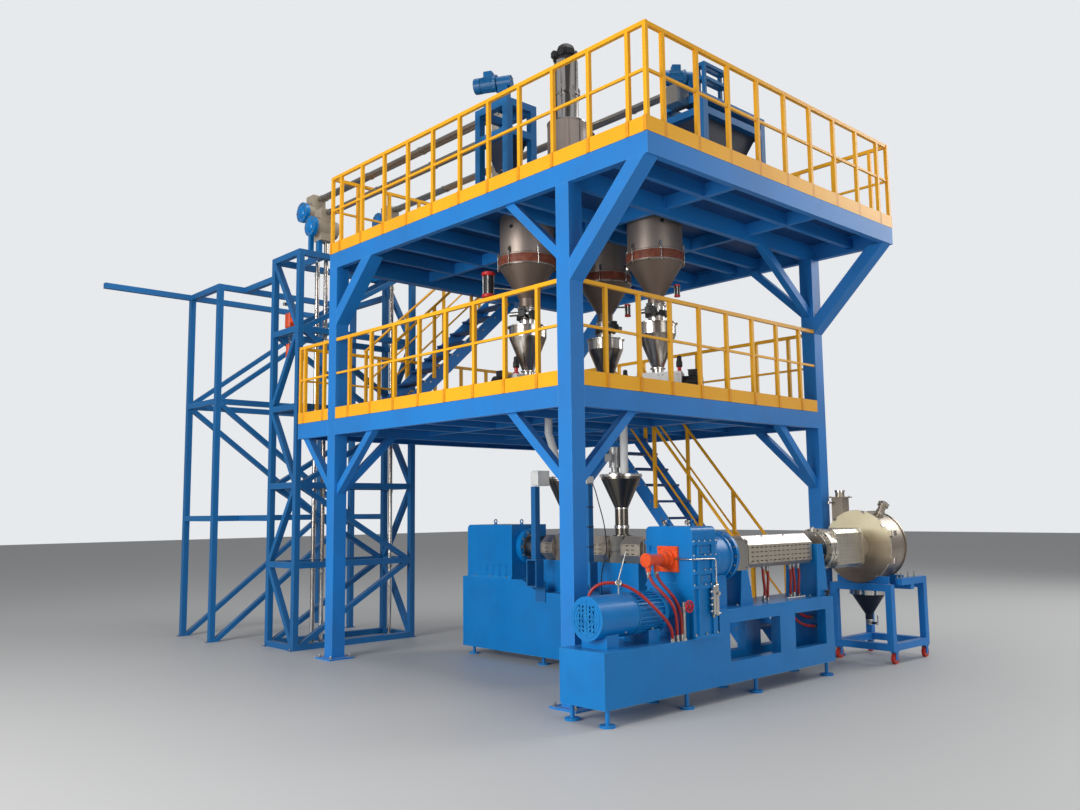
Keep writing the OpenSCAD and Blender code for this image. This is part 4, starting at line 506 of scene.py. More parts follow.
for (x, y), angle in zip(hopper_axes, (-165, -150, -100)):
    turn = swung((x, y, 0), angle)
    plate(shakers, (0.135, -0.045, 3.985), (0.225, 0.045, 4.075), edge=0.01, turn=turn)
    plate(shakers, (0.15, -0.03, 4.075), (0.21, 0.03, 4.115), edge=0.006, turn=turn)
    for side, length in ((-1, 0.11), (1, 0.06)):
        out = turn.to_3x3() @ Vector((0, side, 0))
        round_bar(shaker_arms, turn @ Vector((0.18, side * 0.045, 4.03)), out, 0, length, 0.026, sides=20)
finished(shakers, "hopper_shakers", cast_black)
finished(shaker_caps, "shaker_caps", cap_red)
finished(shaker_arms, "shaker_arms", zinc)


# Feeders: white enamelled housings on rubber feet, each with a bolted side door, a terminal box
# on its motor, and a small level device with a red foot and a black head.
enamel = finish(
    "enamel", (0.72, 0.72, 0.7), 0.35, other=(0.52, 0.51, 0.48), patch=4, edge=(0.45, 0.44, 0.42),
    edge_r=0.003,
)
dress(enamel, "feeder_housings", "drop_pipes", "sloped_chute")
doors, door_screws, boxes, device_feet = (bmesh.new() for _ in range(4))
for (x, y), angle in zip(hopper_axes, (120, 0, 132)):
    turn = swung((x, y, 0), angle)
    for side in (-1, 1):
        out = turn.to_3x3() @ Vector((0, side, 0))
        for a, b in ((-0.255, -0.06), (-0.035, 0.195)):
            low = min(side * 0.12, side * 0.126)
            plate(doors, (a, low, 3.105), (b, low + 0.006, 3.318), edge=0.0015, turn=turn)
            for sx, z in product((a + 0.015, b - 0.015), (3.12, 3.303)):
                bolt(door_screws, turn @ Vector((sx, side * 0.126, z)), out, 0.01)
    plate(boxes, (-0.445, -0.045, 3.292), (-0.345, 0.045, 3.352), edge=0.005, turn=turn)
    plate(boxes, (-0.45, -0.05, 3.35), (-0.34, 0.05, 3.362), edge=0.003, turn=turn)
    round_bar(boxes, turn @ Vector((-0.395, 0.045, 3.322)), out, 0, 0.03, 0.011, sides=12)
    top = turn @ Vector((-0.235, -0.06, 3.336))
    turned(device_feet, top, up, [
        (0, 0), (0.034, 0), (0.034, 0.02), (0.022, 0.026), (0.022, 0.07), (0, 0.07),
    ], 24)
    turned(boxes, top, up, [
        (0, 0.07), (0.03, 0.07), (0.036, 0.08), (0.036, 0.13), (0.028, 0.15), (0.028, 0.185),
        (0.018, 0.2), (0, 0.2),
    ], 24)
    bolt_ring(door_screws, (x, y, 3.906), up, 0.226, 8, 0.012)
    bolt_ring(door_screws, (x, y, 3.396), up, 0.077, 8, 0.01)
finished(doors, "feeder_doors", enamel)
finished(door_screws, "feeder_screws", zinc)
finished(boxes, "feeder_boxes", cast_black)
finished(device_feet, "level_device_feet", cap_red)


# Station hoppers: dark painted sheet. A spout leads from each down to the deck, and lids with
# grips close the day hoppers' filling holes.
dark_sheet = finish("dark_sheet", (0.01, 0.016, 0.035), 0.5, other=(0.02, 0.03, 0.05), patch=3)
dress(dark_sheet, "station_hoppers", "pellet_funnel")
spouts = bmesh.new()
spout_bolts = bmesh.new()
for x, y, top, r in ((0.44, 1.44, 5.62, 0.06), (2.41, 0.0, 5.56, 0.085)):
    round_bar(spouts, (x, y, 0), up, upper_top, top + 0.03, r, sides=32)
    for z in (upper_top, top - 0.012):
        round_bar(spouts, (x, y, z), up, 0, 0.012, r + 0.032, sides=32)
    bolt_ring(spout_bolts, (x, y, upper_top + 0.012), up, r + 0.018, 8, 0.011)
for x, y in hopper_axes:
    lid = [(0, 0), (0.125, 0), (0.125, 0.014), (0.115, 0.02), (0, 0.026)]
    turned(spouts, (x, y, 5.1815), up, lid, 40)
    for s in (-0.045, 0.045):
        round_bar(spout_bolts, (x + s, y, 5.205), up, 0, 0.04, 0.005, sides=10)
    round_bar(spout_bolts, (x - 0.05, y, 5.245), right, 0, 0.1, 0.006, sides=10)
finished(spouts, "station_spouts", bright_steel)
finished(spout_bolts, "spout_bolts", zinc)


# Machine blue: the enamel of gearboxes, motors and machine bases, brighter and glossier than the
# platform, with edges painted pale, partly as rubbing where tools and slings have touched them and
# partly as a painted highlight.
machine_blue = finish(
    "machine_blue", (0.001, 0.185, 0.52), 0.3, other=(0.003, 0.13, 0.38), patch=2.2, amount=0.5,
    edge=(0.05, 0.44, 0.74), edge_r=0.006, dust_and_sheen=0.08, bump=0.04, coat=0.15,
)
dress(
    machine_blue, "lift_drives", "kneader_base", "kneader_gearbox",
    "discharge_frame", "drive_motor", "discharge_gearbox",
)
station_blue = finish(
    "station_blue", (0.003, 0.1, 0.27), 0.36, other=(0.006, 0.07, 0.19), patch=4,
    edge=(0.06, 0.3, 0.5), edge_r=0.004, dust_and_sheen=0.15, bump=0.05,
)
dress(station_blue, "station_drives")
station_bolts = bmesh.new()
guard = bmesh.new()
for x, y, z, angle in ((0.42, 1.44, 6.372, -60), (2.02, 0.0, 6.412, -40)):
    turn = swung((x, y, z), angle)
    out = turn.to_3x3() @ Vector((-1, 0, 0))
    for sx, sy in product((-0.088, 0.088), repeat=2):
        bolt(station_bolts, turn @ Vector((sx, sy, 0.02)), up, 0.018)
    bolt_ring(station_bolts, turn @ Vector((-0.096, 0, 0.3)), out, 0.091, 8, 0.013)
    bolt_ring(station_bolts, turn @ Vector((0.09, 0, 0.3)), -out, 0.058, 6, 0.012)
    plate(guard, (-0.262, -0.056, 0.366), (-0.148, 0.056, 0.376), edge=0.003, turn=turn)
    hoop(guard, turn @ Vector((-0.345, 0, 0.3)), out, 0, 0.006, 0.07, 0.086, steps=40)
    for r in (0.012, 0.026, 0.04, 0.054):
        hoop(guard, turn @ Vector((-0.3455, 0, 0.3)), out, 0.0, 0.004, r, r + 0.005, steps=32)
for x, y in product((1.86, 2.26), (-0.295, -0.215)):
    plate(guard, (x, y, 6.4), (x + 0.04, y + 0.04, 6.77), edge=0.003)
for z in (6.57, 6.73):
    for y in (-0.295, -0.215):
        plate(guard, (1.9, y, z), (2.26, y + 0.04, z + 0.04), edge=0.003)
    for x in (1.86, 2.26):
        plate(guard, (x, -0.255, z), (x + 0.04, -0.215, z + 0.04), edge=0.003)
finished(station_bolts, "station_bolts", zinc)
finished(guard, "station_guards", station_blue)


# Vacuum loader: a polished vessel. Toggles clamp its middle joint, a seam runs down the body, and
# a black elbow hose comes out of the drum's far side near the top.
loader = bmesh.new()
loader_x, loader_y = 1.33, 1.35
for low, high, edge in (((0.146, -0.014, 6.79), (0.156, 0.014, 6.85), 0.002),
                        ((0.15, -0.01, 6.7), (0.163, 0.01, 6.722), 0.002),
                        ((0.158, -0.004, 6.712), (0.166, 0.004, 6.83), 0.001)):
    fanned(loader, (loader_x, loader_y, 0), range(20, 380, 60), low, high, edge)
for low, high in (((0.144, -0.006, 6.42), (0.1465, 0.006, 6.735)),
                  ((0.144, -0.006, 6.775), (0.1465, 0.006, 7.165)),
                  ((0.234, -0.007, 5.19), (0.2365, 0.007, 6.395))):
    fanned(loader, (loader_x, loader_y, 0), (-95, 60), low, high, 0.0008)
for z in (5.2, 6.385):
    hoop(loader, (loader_x, loader_y, z), up, 0, 0.014, 0.2345, 0.24, steps=64)
bolt_ring(loader, (loader_x, loader_y, 6.401), up, 0.205, 12, 0.014)
finished(loader, "loader_toggles", bright_steel)

blower = bmesh.new()
ribs = range(0, 360, 36)
fanned(blower, (loader_x, loader_y, 7.215), ribs, (0.1, -0.003, 0.0), (0.117, 0.003, 0.11), 0.001)
for angle, low, reach in ((250, 0.05, 0.135), (20, 0.06, 0.135), (110, 0.05, 0.17), (160, 0.02, 0.185)):
    turn = swung((loader_x, loader_y, 7.19), angle)
    plate(blower, (0.08, -0.04, low), (reach, 0.04, low + 0.08), edge=0.01, turn=turn)
    round_bar(blower, turn @ Vector((reach - 0.03, 0, low)), up, -0.05, 0.02, 0.014, sides=14)
finished(blower, "blower_ribs", cast_black)

hose_black = finish("hose_black", (0.02, 0.02, 0.022), 0.5, other=(0.05, 0.05, 0.05), patch=20, grain=200)


def tube(name, points, radius, material, resolution=3):
    """A pipe or hose: one smooth curve through its points, given a round section."""
    data = bpy.data.curves.new(name, "CURVE")
    data.dimensions = "3D"
    data.bevel_depth = radius
    data.bevel_resolution = resolution
    data.resolution_u = 8
    data.use_fill_caps = True
    line = data.splines.new("NURBS")
    line.points.add(len(points) - 1)
    for point, spot in zip(line.points, points):
        point.co = (*spot, 1)
    line.order_u = 3
    line.use_endpoint_u = True
    data.materials.append(material)
    return placed(data, name, "plant")


elbow = swung((loader_x, loader_y, 6.32), -35) @ Matrix.Translation((0.228, 0, 0))
elbow_route = (
    (0, 0), (0.05, 0), (0.085, -0.02), (0.1, -0.08), (0.1, -0.4), (0.02, -0.7), (0.02, -1.139),
)
elbow_points = [elbow @ Vector((out, 0, rise)) for out, rise in elbow_route]
tube("loader_elbow", elbow_points, 0.022, hose_black)


# Dust filter: a grey-brown cylinder of rolled and painted sheet. Two hoops stiffen it, and its lid
# is held down by a clamp ring with four toggles.
filter_grey = finish(
    "filter_grey", (0.3, 0.27, 0.23), 0.55, other=(0.22, 0.2, 0.17), patch=3, edge=(0.45, 0.42, 0.38),
)
dress(filter_grey, "dust_filter")
filter_trim = bmesh.new()
for z in (5.2, 5.75, 6.6, 6.83):
    hoop(filter_trim, (1.25, 2.45, z), up, 0, 0.024, 0.129, 0.1355)
fanned(filter_trim, (1.25, 2.45, 0), (25, 115, 205, 295), (0.134, -0.012, 6.8), (0.148, 0.012, 6.87))
finished(filter_trim, "filter_hoops", zinc)


# Lift heads: beige drums in which the feed turns from its lift into its conveyor tube. Blue drive
# discs are screwed to their ends, and clamps hold the tubes along their run.
drum_beige = finish(
    "drum_beige", (0.4, 0.34, 0.26), 0.5, other=(0.27, 0.23, 0.17), patch=3, edge=(0.55, 0.5, 0.42),
)
dress(drum_beige, "lift_heads")
head_bolts = bmesh.new()
head_discs = bmesh.new()
tube_clamps = bmesh.new()
lift_drums = (((0.374, 5.35, 5.848), 1.64), ((0.374, 5.59, 6.105), 1.72), ((1.65, 5.59, 6.22), 0.1))
for (x, y, z), end in lift_drums:
    bolt_ring(head_bolts, (x - 0.23, y, z), left, 0.125, 8, 0.016)
    turned(head_discs, (x - 0.23, y, z), left, [
        (0, 0), (0.085, 0), (0.085, 0.008), (0.06, 0.03), (0.03, 0.036), (0, 0.036),
    ], 40)
    bolt_ring(head_bolts, (x + 0.18, y, z), right, 0.105, 8, 0.014)
    for shift in (-0.004, 0.064):
        start = y - 0.16
        for k in range(int((y - 0.1 - end) / 1.2) + 1):
            clamp = (x + shift, start - k * 1.2, z + 0.22)
            hoop(tube_clamps, clamp, front, 0, 0.035, 0.0295, 0.037, steps=24)
for (x, y), z in product(((0.414, 5.35), (0.414, 5.59), (1.69, 5.59)), (1.0, 2.1, 3.2, 4.3, 5.2)):
    hoop(tube_clamps, (x, y, z), up, 0, 0.04, 0.0295, 0.038, steps=24)
finished(head_bolts, "lift_head_bolts", zinc)
finished(head_discs, "lift_head_hubs", machine_blue)
finished(tube_clamps, "tube_clamps", zinc)


# Chain hoist: a small orange hoist in a cast housing, hung from a rung of the tower. Its steel
# chain runs down into a red fabric bag.
signal_orange = finish("signal_orange", (0.7, 0.085, 0.02), 0.38, other=(0.5, 0.05, 0.012), patch=8)
hoist = bmesh.new()
plate(hoist, (-0.035, 5.565, 4.4), (0.095, 5.695, 4.62), edge=0.018)
round_bar(hoist, (0.03, 5.565, 4.51), front, 0, 0.07, 0.05, 0.042)
plate(hoist, (-0.03, 5.58, 3.95), (0.05, 5.66, 4.18), edge=0.015)
finished(hoist, "chain_hoist", signal_orange)
chain = bmesh.new()
round_bar(chain, (0.03, 5.63, 4.6), up, 0, 0.16, 0.01, sides=10)
plate(chain, (-0.09, 5.61, 4.72), (0.11, 5.65, 4.76))
for x, k in product((0.01, 0.06), range(22)):
    bead(chain, (x, 5.62, 4.392 - 0.02 * k), (k % 2, 1 - k % 2, 0), 0.011, 0.003, 10, sides=6)
finished(chain, "hoist_chain", zinc)


# Kneader: bolted lantern ring, louvred gearbox, flanged feed blocks. Screws close the covers, and
# the transfer duct's rims are bolted up.
kneader_x, kneader_z = 1.7, 1.37
kneader_bolts = bmesh.new()
bolt_ring(kneader_bolts, (kneader_x, 2.42, kneader_z), front, 0.195, 12, 0.018)
for y, axis in ((0.506, -1), (-0.366, 1)):
    for s in (-0.1, -0.035, 0.035, 0.1):
        for dx, dz in ((s, 0.11), (s, -0.11), (0.11, s), (-0.11, s)):
            bolt(kneader_bolts, (kneader_x + dx, y, kneader_z + dz), (0, axis, 0), 0.013)
feed_ports = (0.93, 1.82)
for y in feed_ports:
    bolt_ring(kneader_bolts, (kneader_x, y, 1.535), up, 0.088, 8, 0.012, start=0.39)
    bolt_ring(kneader_bolts, (kneader_x, y, 2.212), up, 0.231, 16, 0.011)
    corners = (-0.08526, 0.08526)
    bolts(kneader_bolts, [kneader_x + s for s in corners], [y + s for s in corners], (1.52,), up, 0.014)
bolts(kneader_bolts, (1.403, 1.997), (2.6, 2.9, 3.2), (0.998,), up, 0.016)
finished(kneader_bolts, "kneader_bolts", zinc)

# Barrel cover sheet: the pale bluish layer on the faces that look up is a painted sheen.
cover_sheet = finish(
    "cover_sheet", (0.58, 0.5, 0.4), 0.3, metallic=0.75, other=(0.4, 0.34, 0.26), patch=3,
    grain=80, stretch=(0.15, 0.15, 1), bump=0.05, edge=(0.82, 0.8, 0.74), edge_r=0.004, dust_and_sheen=1.1,
    dust_and_sheen_colour=(0.62, 0.62, 0.76),
)
dress(cover_sheet, "kneader_barrel_covers", "discharge_barrel_cover")
cover_screws = bmesh.new()
for y0, y1 in ((0.54, 0.82), (1.04, 1.71), (1.93, 2.115)):
    count = max(2, round((y1 - y0) / 0.2) + 1)
    rows = [y0 + 0.02 + (y1 - y0 - 0.04) * k / (count - 1) for k in range(count)]
    for side in (-1, 1):
        x = kneader_x + side * 0.15
        bolts(cover_screws, (x,), rows, (kneader_z + 0.052, kneader_z - 0.052), (side, 0, 0), 0.01)

# Feed hoppers' steel: the dark base colour is a painted dark reflection on polished sheet.
feed_steel_dark_reflection = finish(
    "feed_steel_dark_reflection", (0.17, 0.15, 0.125), 0.24, metallic=0.95, other=(0.1, 0.088, 0.075),
    patch=3, grain=90, stretch=(1, 1, 0.1), bump=0.05, dust_and_sheen=0.1,
)
dress(feed_steel_dark_reflection, "feed_hoppers")
feed_rims = bmesh.new()
for y in feed_ports:
    hoop(feed_rims, (kneader_x, y, 2.186), up, 0, 0.0265, 0.2385, 0.2425, steps=72)
    hoop(feed_rims, (kneader_x, y, 1.83), up, -0.006, 0.006, 0.0745, 0.079, steps=40)
    collar = [(0.0745, 0), (0.084, 0.004), (0.084, 0.036), (0.0745, 0.04)]
    turned(feed_rims, (kneader_x, y, 1.6), up, collar, 40)
finished(feed_rims, "feed_hopper_rims", bright_steel)

# Agitator drives on the feed hoppers: ribbed motors of bright cast aluminium, each bolted to the
# hopper's lid and wired through a small box.
drive_metal = finish(
    "drive_metal", (0.38, 0.38, 0.37), 0.42, metallic=0.6, other=(0.22, 0.22, 0.21), patch=8,
    edge=(0.62, 0.62, 0.6), edge_r=0.003,
)
dress(drive_metal, "feed_hopper_drives")
drive_trim = bmesh.new()
for x, y in ((1.64, 0.96), (1.77, 1.75)):
    plate(drive_trim, (x - 0.118, y - 0.04, 2.36), (x - 0.06, y + 0.04, 2.44), edge=0.005)
    plate(drive_trim, (x - 0.124, y - 0.045, 2.355), (x - 0.114, y + 0.045, 2.445), edge=0.003)
    bolt_ring(drive_trim, (x, y, 2.232), up, 0.062, 4, 0.012, start=0.8)
finished(drive_trim, "feed_drive_boxes", drive_metal)

# Service posts: each carries a white junction box on top and a black socket in its bracket; a
# black sensor lead drops from the front post to the feed block.
service = bmesh.new()
plate(service, (1.29, 1.88, 2.105), (1.48, 2.00, 2.285), edge=0.006)
plate(service, (1.282, 1.872, 2.12), (1.29, 2.008, 2.27), edge=0.003)
plate(service, (1.262, 1.055, 2.102), (1.388, 1.125, 2.19), edge=0.006)
finished(service, "junction_boxes", enamel)
sockets = bmesh.new()
for x, out in product((1.29, 1.345), (-1, 1)):
    turned(sockets, (x, out * 0.086, 1.07), (0, out, 0), [
        (0, 0), (0.026, 0), (0.026, 0.012), (0.018, 0.02), (0.018, 0.034), (0, 0.034),
    ], 24)
for z in (1.4, 1.62, 1.84):
    plate(sockets, (1.284, 1.045, z), (1.366, 1.135, z + 0.012), edge=0.002)
finished(sockets, "service_sockets", cast_black)
tube("sensor_lead", [
    (1.3, 1.06, 2.1), (1.27, 0.98, 2.12), (1.27, 0.93, 2.05), (1.31, 0.92, 1.9), (1.42, 0.95, 1.7),
    (1.49, 0.98, 1.5), (1.515, 1.00, 1.36), (1.49, 1.02, 1.22), (1.46, 1.03, 1.12), (1.45, 1.03, 0.98),
    (1.45, 1.03, 0.86),
], 0.006, hose_black, resolution=2)


# Drive motor: foot bolts, a lifting eye, a grille with a round boss on the cowl, and the shaft
# guard towards the gearbox.
line_y, line_z, motor_z = -0.53, 1.345, 0.88
machine_trim = bmesh.new()
machine_bolts = bmesh.new()
bolts(machine_bolts, (-0.025, 0.335), (line_y - 0.128, line_y + 0.128), (0.742,), up, 0.02)
turned(machine_trim, (0.06, line_y, 1.068), up, [(0, 0), (0.022, 0), (0.022, 0.012), (0, 0.014)], 24)
bead(machine_trim, (0.06, line_y, 1.098), rear, 0.02, 0.007, 24)
cowl = (-0.381, line_y, motor_z)
for r in (0.03, 0.06, 0.09, 0.12, 0.15):
    hoop(machine_trim, cowl, left, 0, 0.004, r, r + 0.007)
round_bar(machine_trim, cowl, left, 0, 0.007, 0.02)
low, high = (-0.385, -0.004, 0.02), (-0.381, 0.004, 0.16)
fanned(machine_trim, (0, line_y, motor_z), range(0, 360, 45), low, high, 0.001, axis="X")
bolt(machine_bolts, (0.1, line_y, motor_z), right, 0.001)
for x in (0.11, 0.47):
    hoop(machine_trim, (x, line_y, motor_z), right, 0, 0.012, 0.186, 0.1925, steps=64)

# Discharge gearbox: split lines bolted along their ribs, a bolted lantern, inspection covers and
# oil plugs. Bright caps stand on its top.
ribs_y = (-0.815, -0.245)
rib_bolts_x = (0.765, 0.845, 0.93, 1.015, 1.095)
bolts(machine_bolts, rib_bolts_x, ribs_y, (1.105, 1.24, 1.38, 1.51), up, 0.016)
bolts(machine_bolts, (0.77, 0.93, 1.09), ribs_y, (0.65,), up, 0.02)
bolt_ring(machine_bolts, (1.1545, line_y, line_z), right, 0.271, 16, 0.014)
bolt_ring(machine_bolts, (1.498, line_y, line_z), left, 0.232, 16, 0.018)
bolt_ring(machine_bolts, (1.1105, line_y, line_z), left, 0.272, 1, 0.001)
breathers = bmesh.new()
for y in (-0.67, -0.39):
    turned(machine_trim, (0.865, y, 1.65), up, [(0, 0), (0.03, 0), (0.03, 0.006), (0, 0.006)], 24)
    turned(breathers, (0.865, y, 1.656), up, [
        (0, 0), (0.014, 0), (0.014, 0.014), (0.024, 0.018), (0.026, 0.04), (0.018, 0.052), (0, 0.054),
    ], 24)
plate(machine_trim, (0.86, -0.818, 1.135), (1.00, -0.81, 1.195))
plate(machine_trim, (0.86, -0.818, 1.395), (1.00, -0.81, 1.465))
bolts(machine_bolts, (0.872, 0.988), (-0.818,), (1.15, 1.18, 1.41, 1.45), front, 0.009)
finished(breathers, "gearbox_breathers", bright_steel)
bolts(machine_bolts, (1.6, 1.8), (line_y - 0.13, line_y + 0.13), (1.495,), up, 0.018)
bolts(machine_bolts, (1.6, 1.8), (-0.68,), (1.22, 1.47), front, 0.018)
foot_bolts_x = (1.678, 1.8, 3.028, 3.16)
bolts(machine_bolts, foot_bolts_x, (line_y - 0.1, line_y + 0.1), (0.85,), up, 0.018)
finished(machine_trim, "drive_trim", machine_blue)
finished(machine_bolts, "machine_bolts", zinc)

# Barrel cover: three bent and slotted steel sheets that lap each other, held to the barrel by a
# row of screws along each lower edge.
screws_x = [1.87 + 1.11 * k / 8 for k in range(9)]
for y, out in ((-0.68, -1), (-0.38, 1)):
    bolts(cover_screws, screws_x, (y,), (1.262,), (0, out, 0), 0.01)
finished(cover_screws, "cover_screws", zinc)
cover_laps = bmesh.new()
for x in (2.2, 2.6):
    plate(cover_laps, (x - 0.012, -0.6825, 1.255), (x + 0.012, -0.68, 1.438), edge=0.0008)
    plate(cover_laps, (x - 0.012, -0.615, 1.5296), (x + 0.012, -0.445, 1.532), edge=0.0008)
finished(cover_laps, "cover_laps", cover_sheet)

# Oil service on the gearbox: a thin pipe from the union's plate to a brass and steel manifold,
# with screwed fittings, and on to the lantern. A red handwheel valve sits below the union.
manifold = bmesh.new()
plate(manifold, (0.985, -0.868, 0.825), (1.02, -0.832, 1.095), edge=0.004)
plate(manifold, (1.035, -0.862, 0.815), (1.075, -0.832, 1.106), edge=0.004)
for z in (0.86, 0.92, 0.98, 1.04):
    round_bar(manifold, (0.985, -0.85, z), left, 0, 0.03, 0.011, sides=12)
    round_bar(manifold, (1.02, -0.848, z), right, 0, 0.016, 0.008, sides=12)
for z in (0.885, 1.035):
    plate(manifold, (0.99, -0.834, z), (1.07, -0.828, z + 0.02), edge=0.001)
round_bar(manifold, (1.055, -0.862, 1.02), front, 0, 0.018, 0.02, sides=20)
finished(manifold, "oil_manifold", bright_steel)
brass = finish(
    "brass_fittings", (0.55, 0.36, 0.12), 0.3, metallic=1.0, other=(0.36, 0.22, 0.07), patch=20,
)
fittings = bmesh.new()
for place, axis, length, r in (((0.9955, -0.85, 0.805), up, 0.022, 0.012),
                               ((1.055, -0.847, 1.104), up, 0.02, 0.012),
                               ((0.712, -0.632, 1.35), front, 0.024, 0.012),
                               ((0.45, line_y, 1.222), up, 0.016, 0.021),
                               ((0.56, line_y, 1.222), up, 0.016, 0.021)):
    round_bar(fittings, place, axis, 0, length, r, sides=6)
finished(fittings, "brass_fittings", brass)
tube("oil_pipe", [
    (0.712, -0.65, 1.35), (0.712, -0.8, 1.35), (0.73, -0.846, 1.35), (0.77, -0.848, 1.35),
    (1.02, -0.848, 1.345), (1.048, -0.848, 1.34), (1.056, -0.848, 1.315), (1.056, -0.848, 1.2),
    (1.056, -0.848, 1.12),
], 0.0075, bright_steel, resolution=2)
tube("oil_return", [
    (1.07, -0.848, 0.835), (1.1, -0.848, 0.832), (1.135, -0.835, 0.83), (1.15, -0.812, 0.828),
    (1.156, -0.802, 0.828),
], 0.0075, bright_steel, resolution=2)
valve = bmesh.new()
valve_x, valve_y, valve_z = 0.64, -0.842, 0.93
hoop(valve, (valve_x, valve_y, valve_z), front, 0, 0.012, 0.044, 0.056, steps=36)
low, high = (-0.046, -0.004, -0.006), (0.046, 0.004, 0.006)
fanned(valve, (valve_x, valve_y - 0.006, valve_z), (0, 60, 120), low, high, axis="Y")
round_bar(valve, (valve_x, valve_y, valve_z), front, -0.004, 0.016, 0.014, sides=16)
finished(valve, "valve_handwheel", cap_red)
valve_body = bmesh.new()
round_bar(valve_body, (valve_x, valve_y, valve_z), rear, 0, 0.06, 0.01, sides=12)
round_bar(valve_body, (valve_x, -0.782, 0.62), up, 0, 0.345, 0.016, sides=16)
for z in (0.62, 0.9):
    round_bar(valve_body, (valve_x, -0.782, z), up, 0, 0.02, 0.026, sides=6)
finished(valve_body, "valve_body", zinc)

# Rotary union: orange enamel, bolted through its square plate, with a ring of cap screws on its
# flange and bright couplings where the hoses leave.
union_orange = finish(
    "union_orange", (0.85, 0.095, 0.016), 0.33, other=(0.66, 0.062, 0.012), patch=6,
    edge=(0.95, 0.28, 0.1), edge_r=0.004, coat=0.2,
)
dress(union_orange, "rotary_union")
union_bolts = bmesh.new()
corners_y, corners_z = (line_y - 0.1, line_y + 0.1), (line_z - 0.1, line_z + 0.1)
bolts(union_bolts, (0.725,), corners_y, corners_z, left, 0.022)
bolt_ring(union_bolts, (0.695, line_y, line_z), left, 0.08, 6, 0.012, start=0.5)
bolt_ring(union_bolts, (0.41, line_y, line_z), left, 0.052, 6, 0.012, start=0.2)
finished(union_bolts, "union_bolts", union_orange)


# Coolant hoses: red rubber over steel braid, about 30 mm thick, each screwed at both ends into a
# fitting. They hang from the rotary union, lie over the motor, and drop from the barrel cover.
hose_red = finish(
    "hose_red", (0.36, 0.022, 0.016), 0.34, other=(0.26, 0.016, 0.012), patch=9, grain=240, bump=0.25,
    coat=0.15, dust_and_sheen=0.08,
)
drive_hoses = {
    "union_hose": [
        (450, 0, 1), (451, -14, 0.91), (458, -68, 0.8), (478, -150, 0.69), (508, -219, 0.56),
        (532, -242, 0.42), (545, -243, 0.28), (549, -240, 0.13), (550, -240, 0),
    ],
    "union_return_hose": [
        (560, 0, 1), (561, -15, 0.91), (568, -72, 0.8), (584, -155, 0.68), (602, -212, 0.54),
        (615, -234, 0.4), (619, -237, 0.26), (620, -237, 0.12), (620, -237, 0),
    ],
    "motor_hose": [
        (-130, 240, 0), (-130, 240, 0.14), (-130, 240, 0.35), (-129, 238, 0.55), (-120, 218, 0.72),
        (-90, 172, 0.83), (-40, 98, 0.885), (30, 8, 0.878), (100, -82, 0.815), (165, -166, 0.7),
        (225, -230, 0.56), (300, -262, 0.43), (385, -266, 0.31), (450, -256, 0.2),
        (482, -243, 0.09), (485, -238, 0),
    ],
}
routes = {
    name: [(x / 1000, (y - 530) / 1000, (620 + 615 * share) / 1000) for x, y, share in route]
    for name, route in drive_hoses.items()
}
for k, (x, sway) in enumerate(((2200, -12), (2270, 9), (2700, 8), (2770, -8), (2860, 14))):
    places = [
        (x + sway * sin(radians(72 * i)), -595 - 8 * sin(radians(36 * i)),
         1210.6 - 360.6 * i / 5)
        for i in range(6)
    ]
    routes[f"cover_hose_{k + 1}"] = [tuple(c / 1000 for c in place) for place in places]
for k, (x, y, drop) in enumerate(((2560, -650, 300), (2740, -605, 205))):
    angles = [radians(a) for a in range(0, 91, 15)]
    places = [(x + (3100 - x) * (1 - cos(a)), y, 820 - drop * sin(a)) for a in angles]
    routes[f"frame_hose_{k + 1}"] = [tuple(c / 1000 for c in place) for place in places]
hose_fittings = bmesh.new()
for name, route in routes.items():
    hose = tube(name, route, 0.015, hose_red, resolution=4)
    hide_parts("coolant_hoses")
    length = sum((Vector(b) - Vector(a)).length for a, b in zip(route, route[1:]))
    for end, next_to in ((route[0], route[1]), (route[-1], route[-2])):
        along = Vector(next_to) - Vector(end)
        main = "z" if abs(along.z) > abs(along.x) else "x"
        axis = Vector()
        setattr(axis, main, copysign(1, getattr(along, main)))
        turned(hose_fittings, end, axis, [
            (0.0152, 0.0), (0.024, 0.0), (0.024, 0.016), (0.0185, 0.018), (0.0185, 0.052),
            (0.0165, 0.056), (0.0152, 0.056),
        ], 24)
finished(hose_fittings, "hose_couplings", zinc)

# Ring clamp: a steel eye on a thin rod that is screwed into the motor's lifting boss. The motor's
# hose passes through it, and a second rod leads up to the kneader's cover.
eye = bmesh.new()
eye_at, eye_axis = (0.015, -0.549, 1.163), (0.68, 0.73, 0)
bead(eye, eye_at, eye_axis, 0.024, 0.0075, 32)
round_bar(eye, eye_at, eye_axis, -0.004, 0.004, 0.02, sides=24)
round_bar(eye, (0.015, -0.549, 1.066), up, 0, 0.072, 0.007, sides=12)
round_bar(eye, (0.02, -0.545, 1.19), (0.3, -0.1, 0.95), 0, 0.26, 0.006, sides=12)
finished(eye, "hose_eye", zinc)


# Die head: socket screws sunk round both flanges, straps and bolts on the box, a small vent
# fitting on the barrel's end flange.
polished = finish(
    "polished", (0.66, 0.61, 0.52), 0.24, metallic=0.85, other=(0.46, 0.41, 0.34), patch=2.4,
    grain=70, bump=0.03, dust_and_sheen=0.5, dust_and_sheen_colour=(0.86, 0.84, 0.78),
)
dress(polished, "die_head")
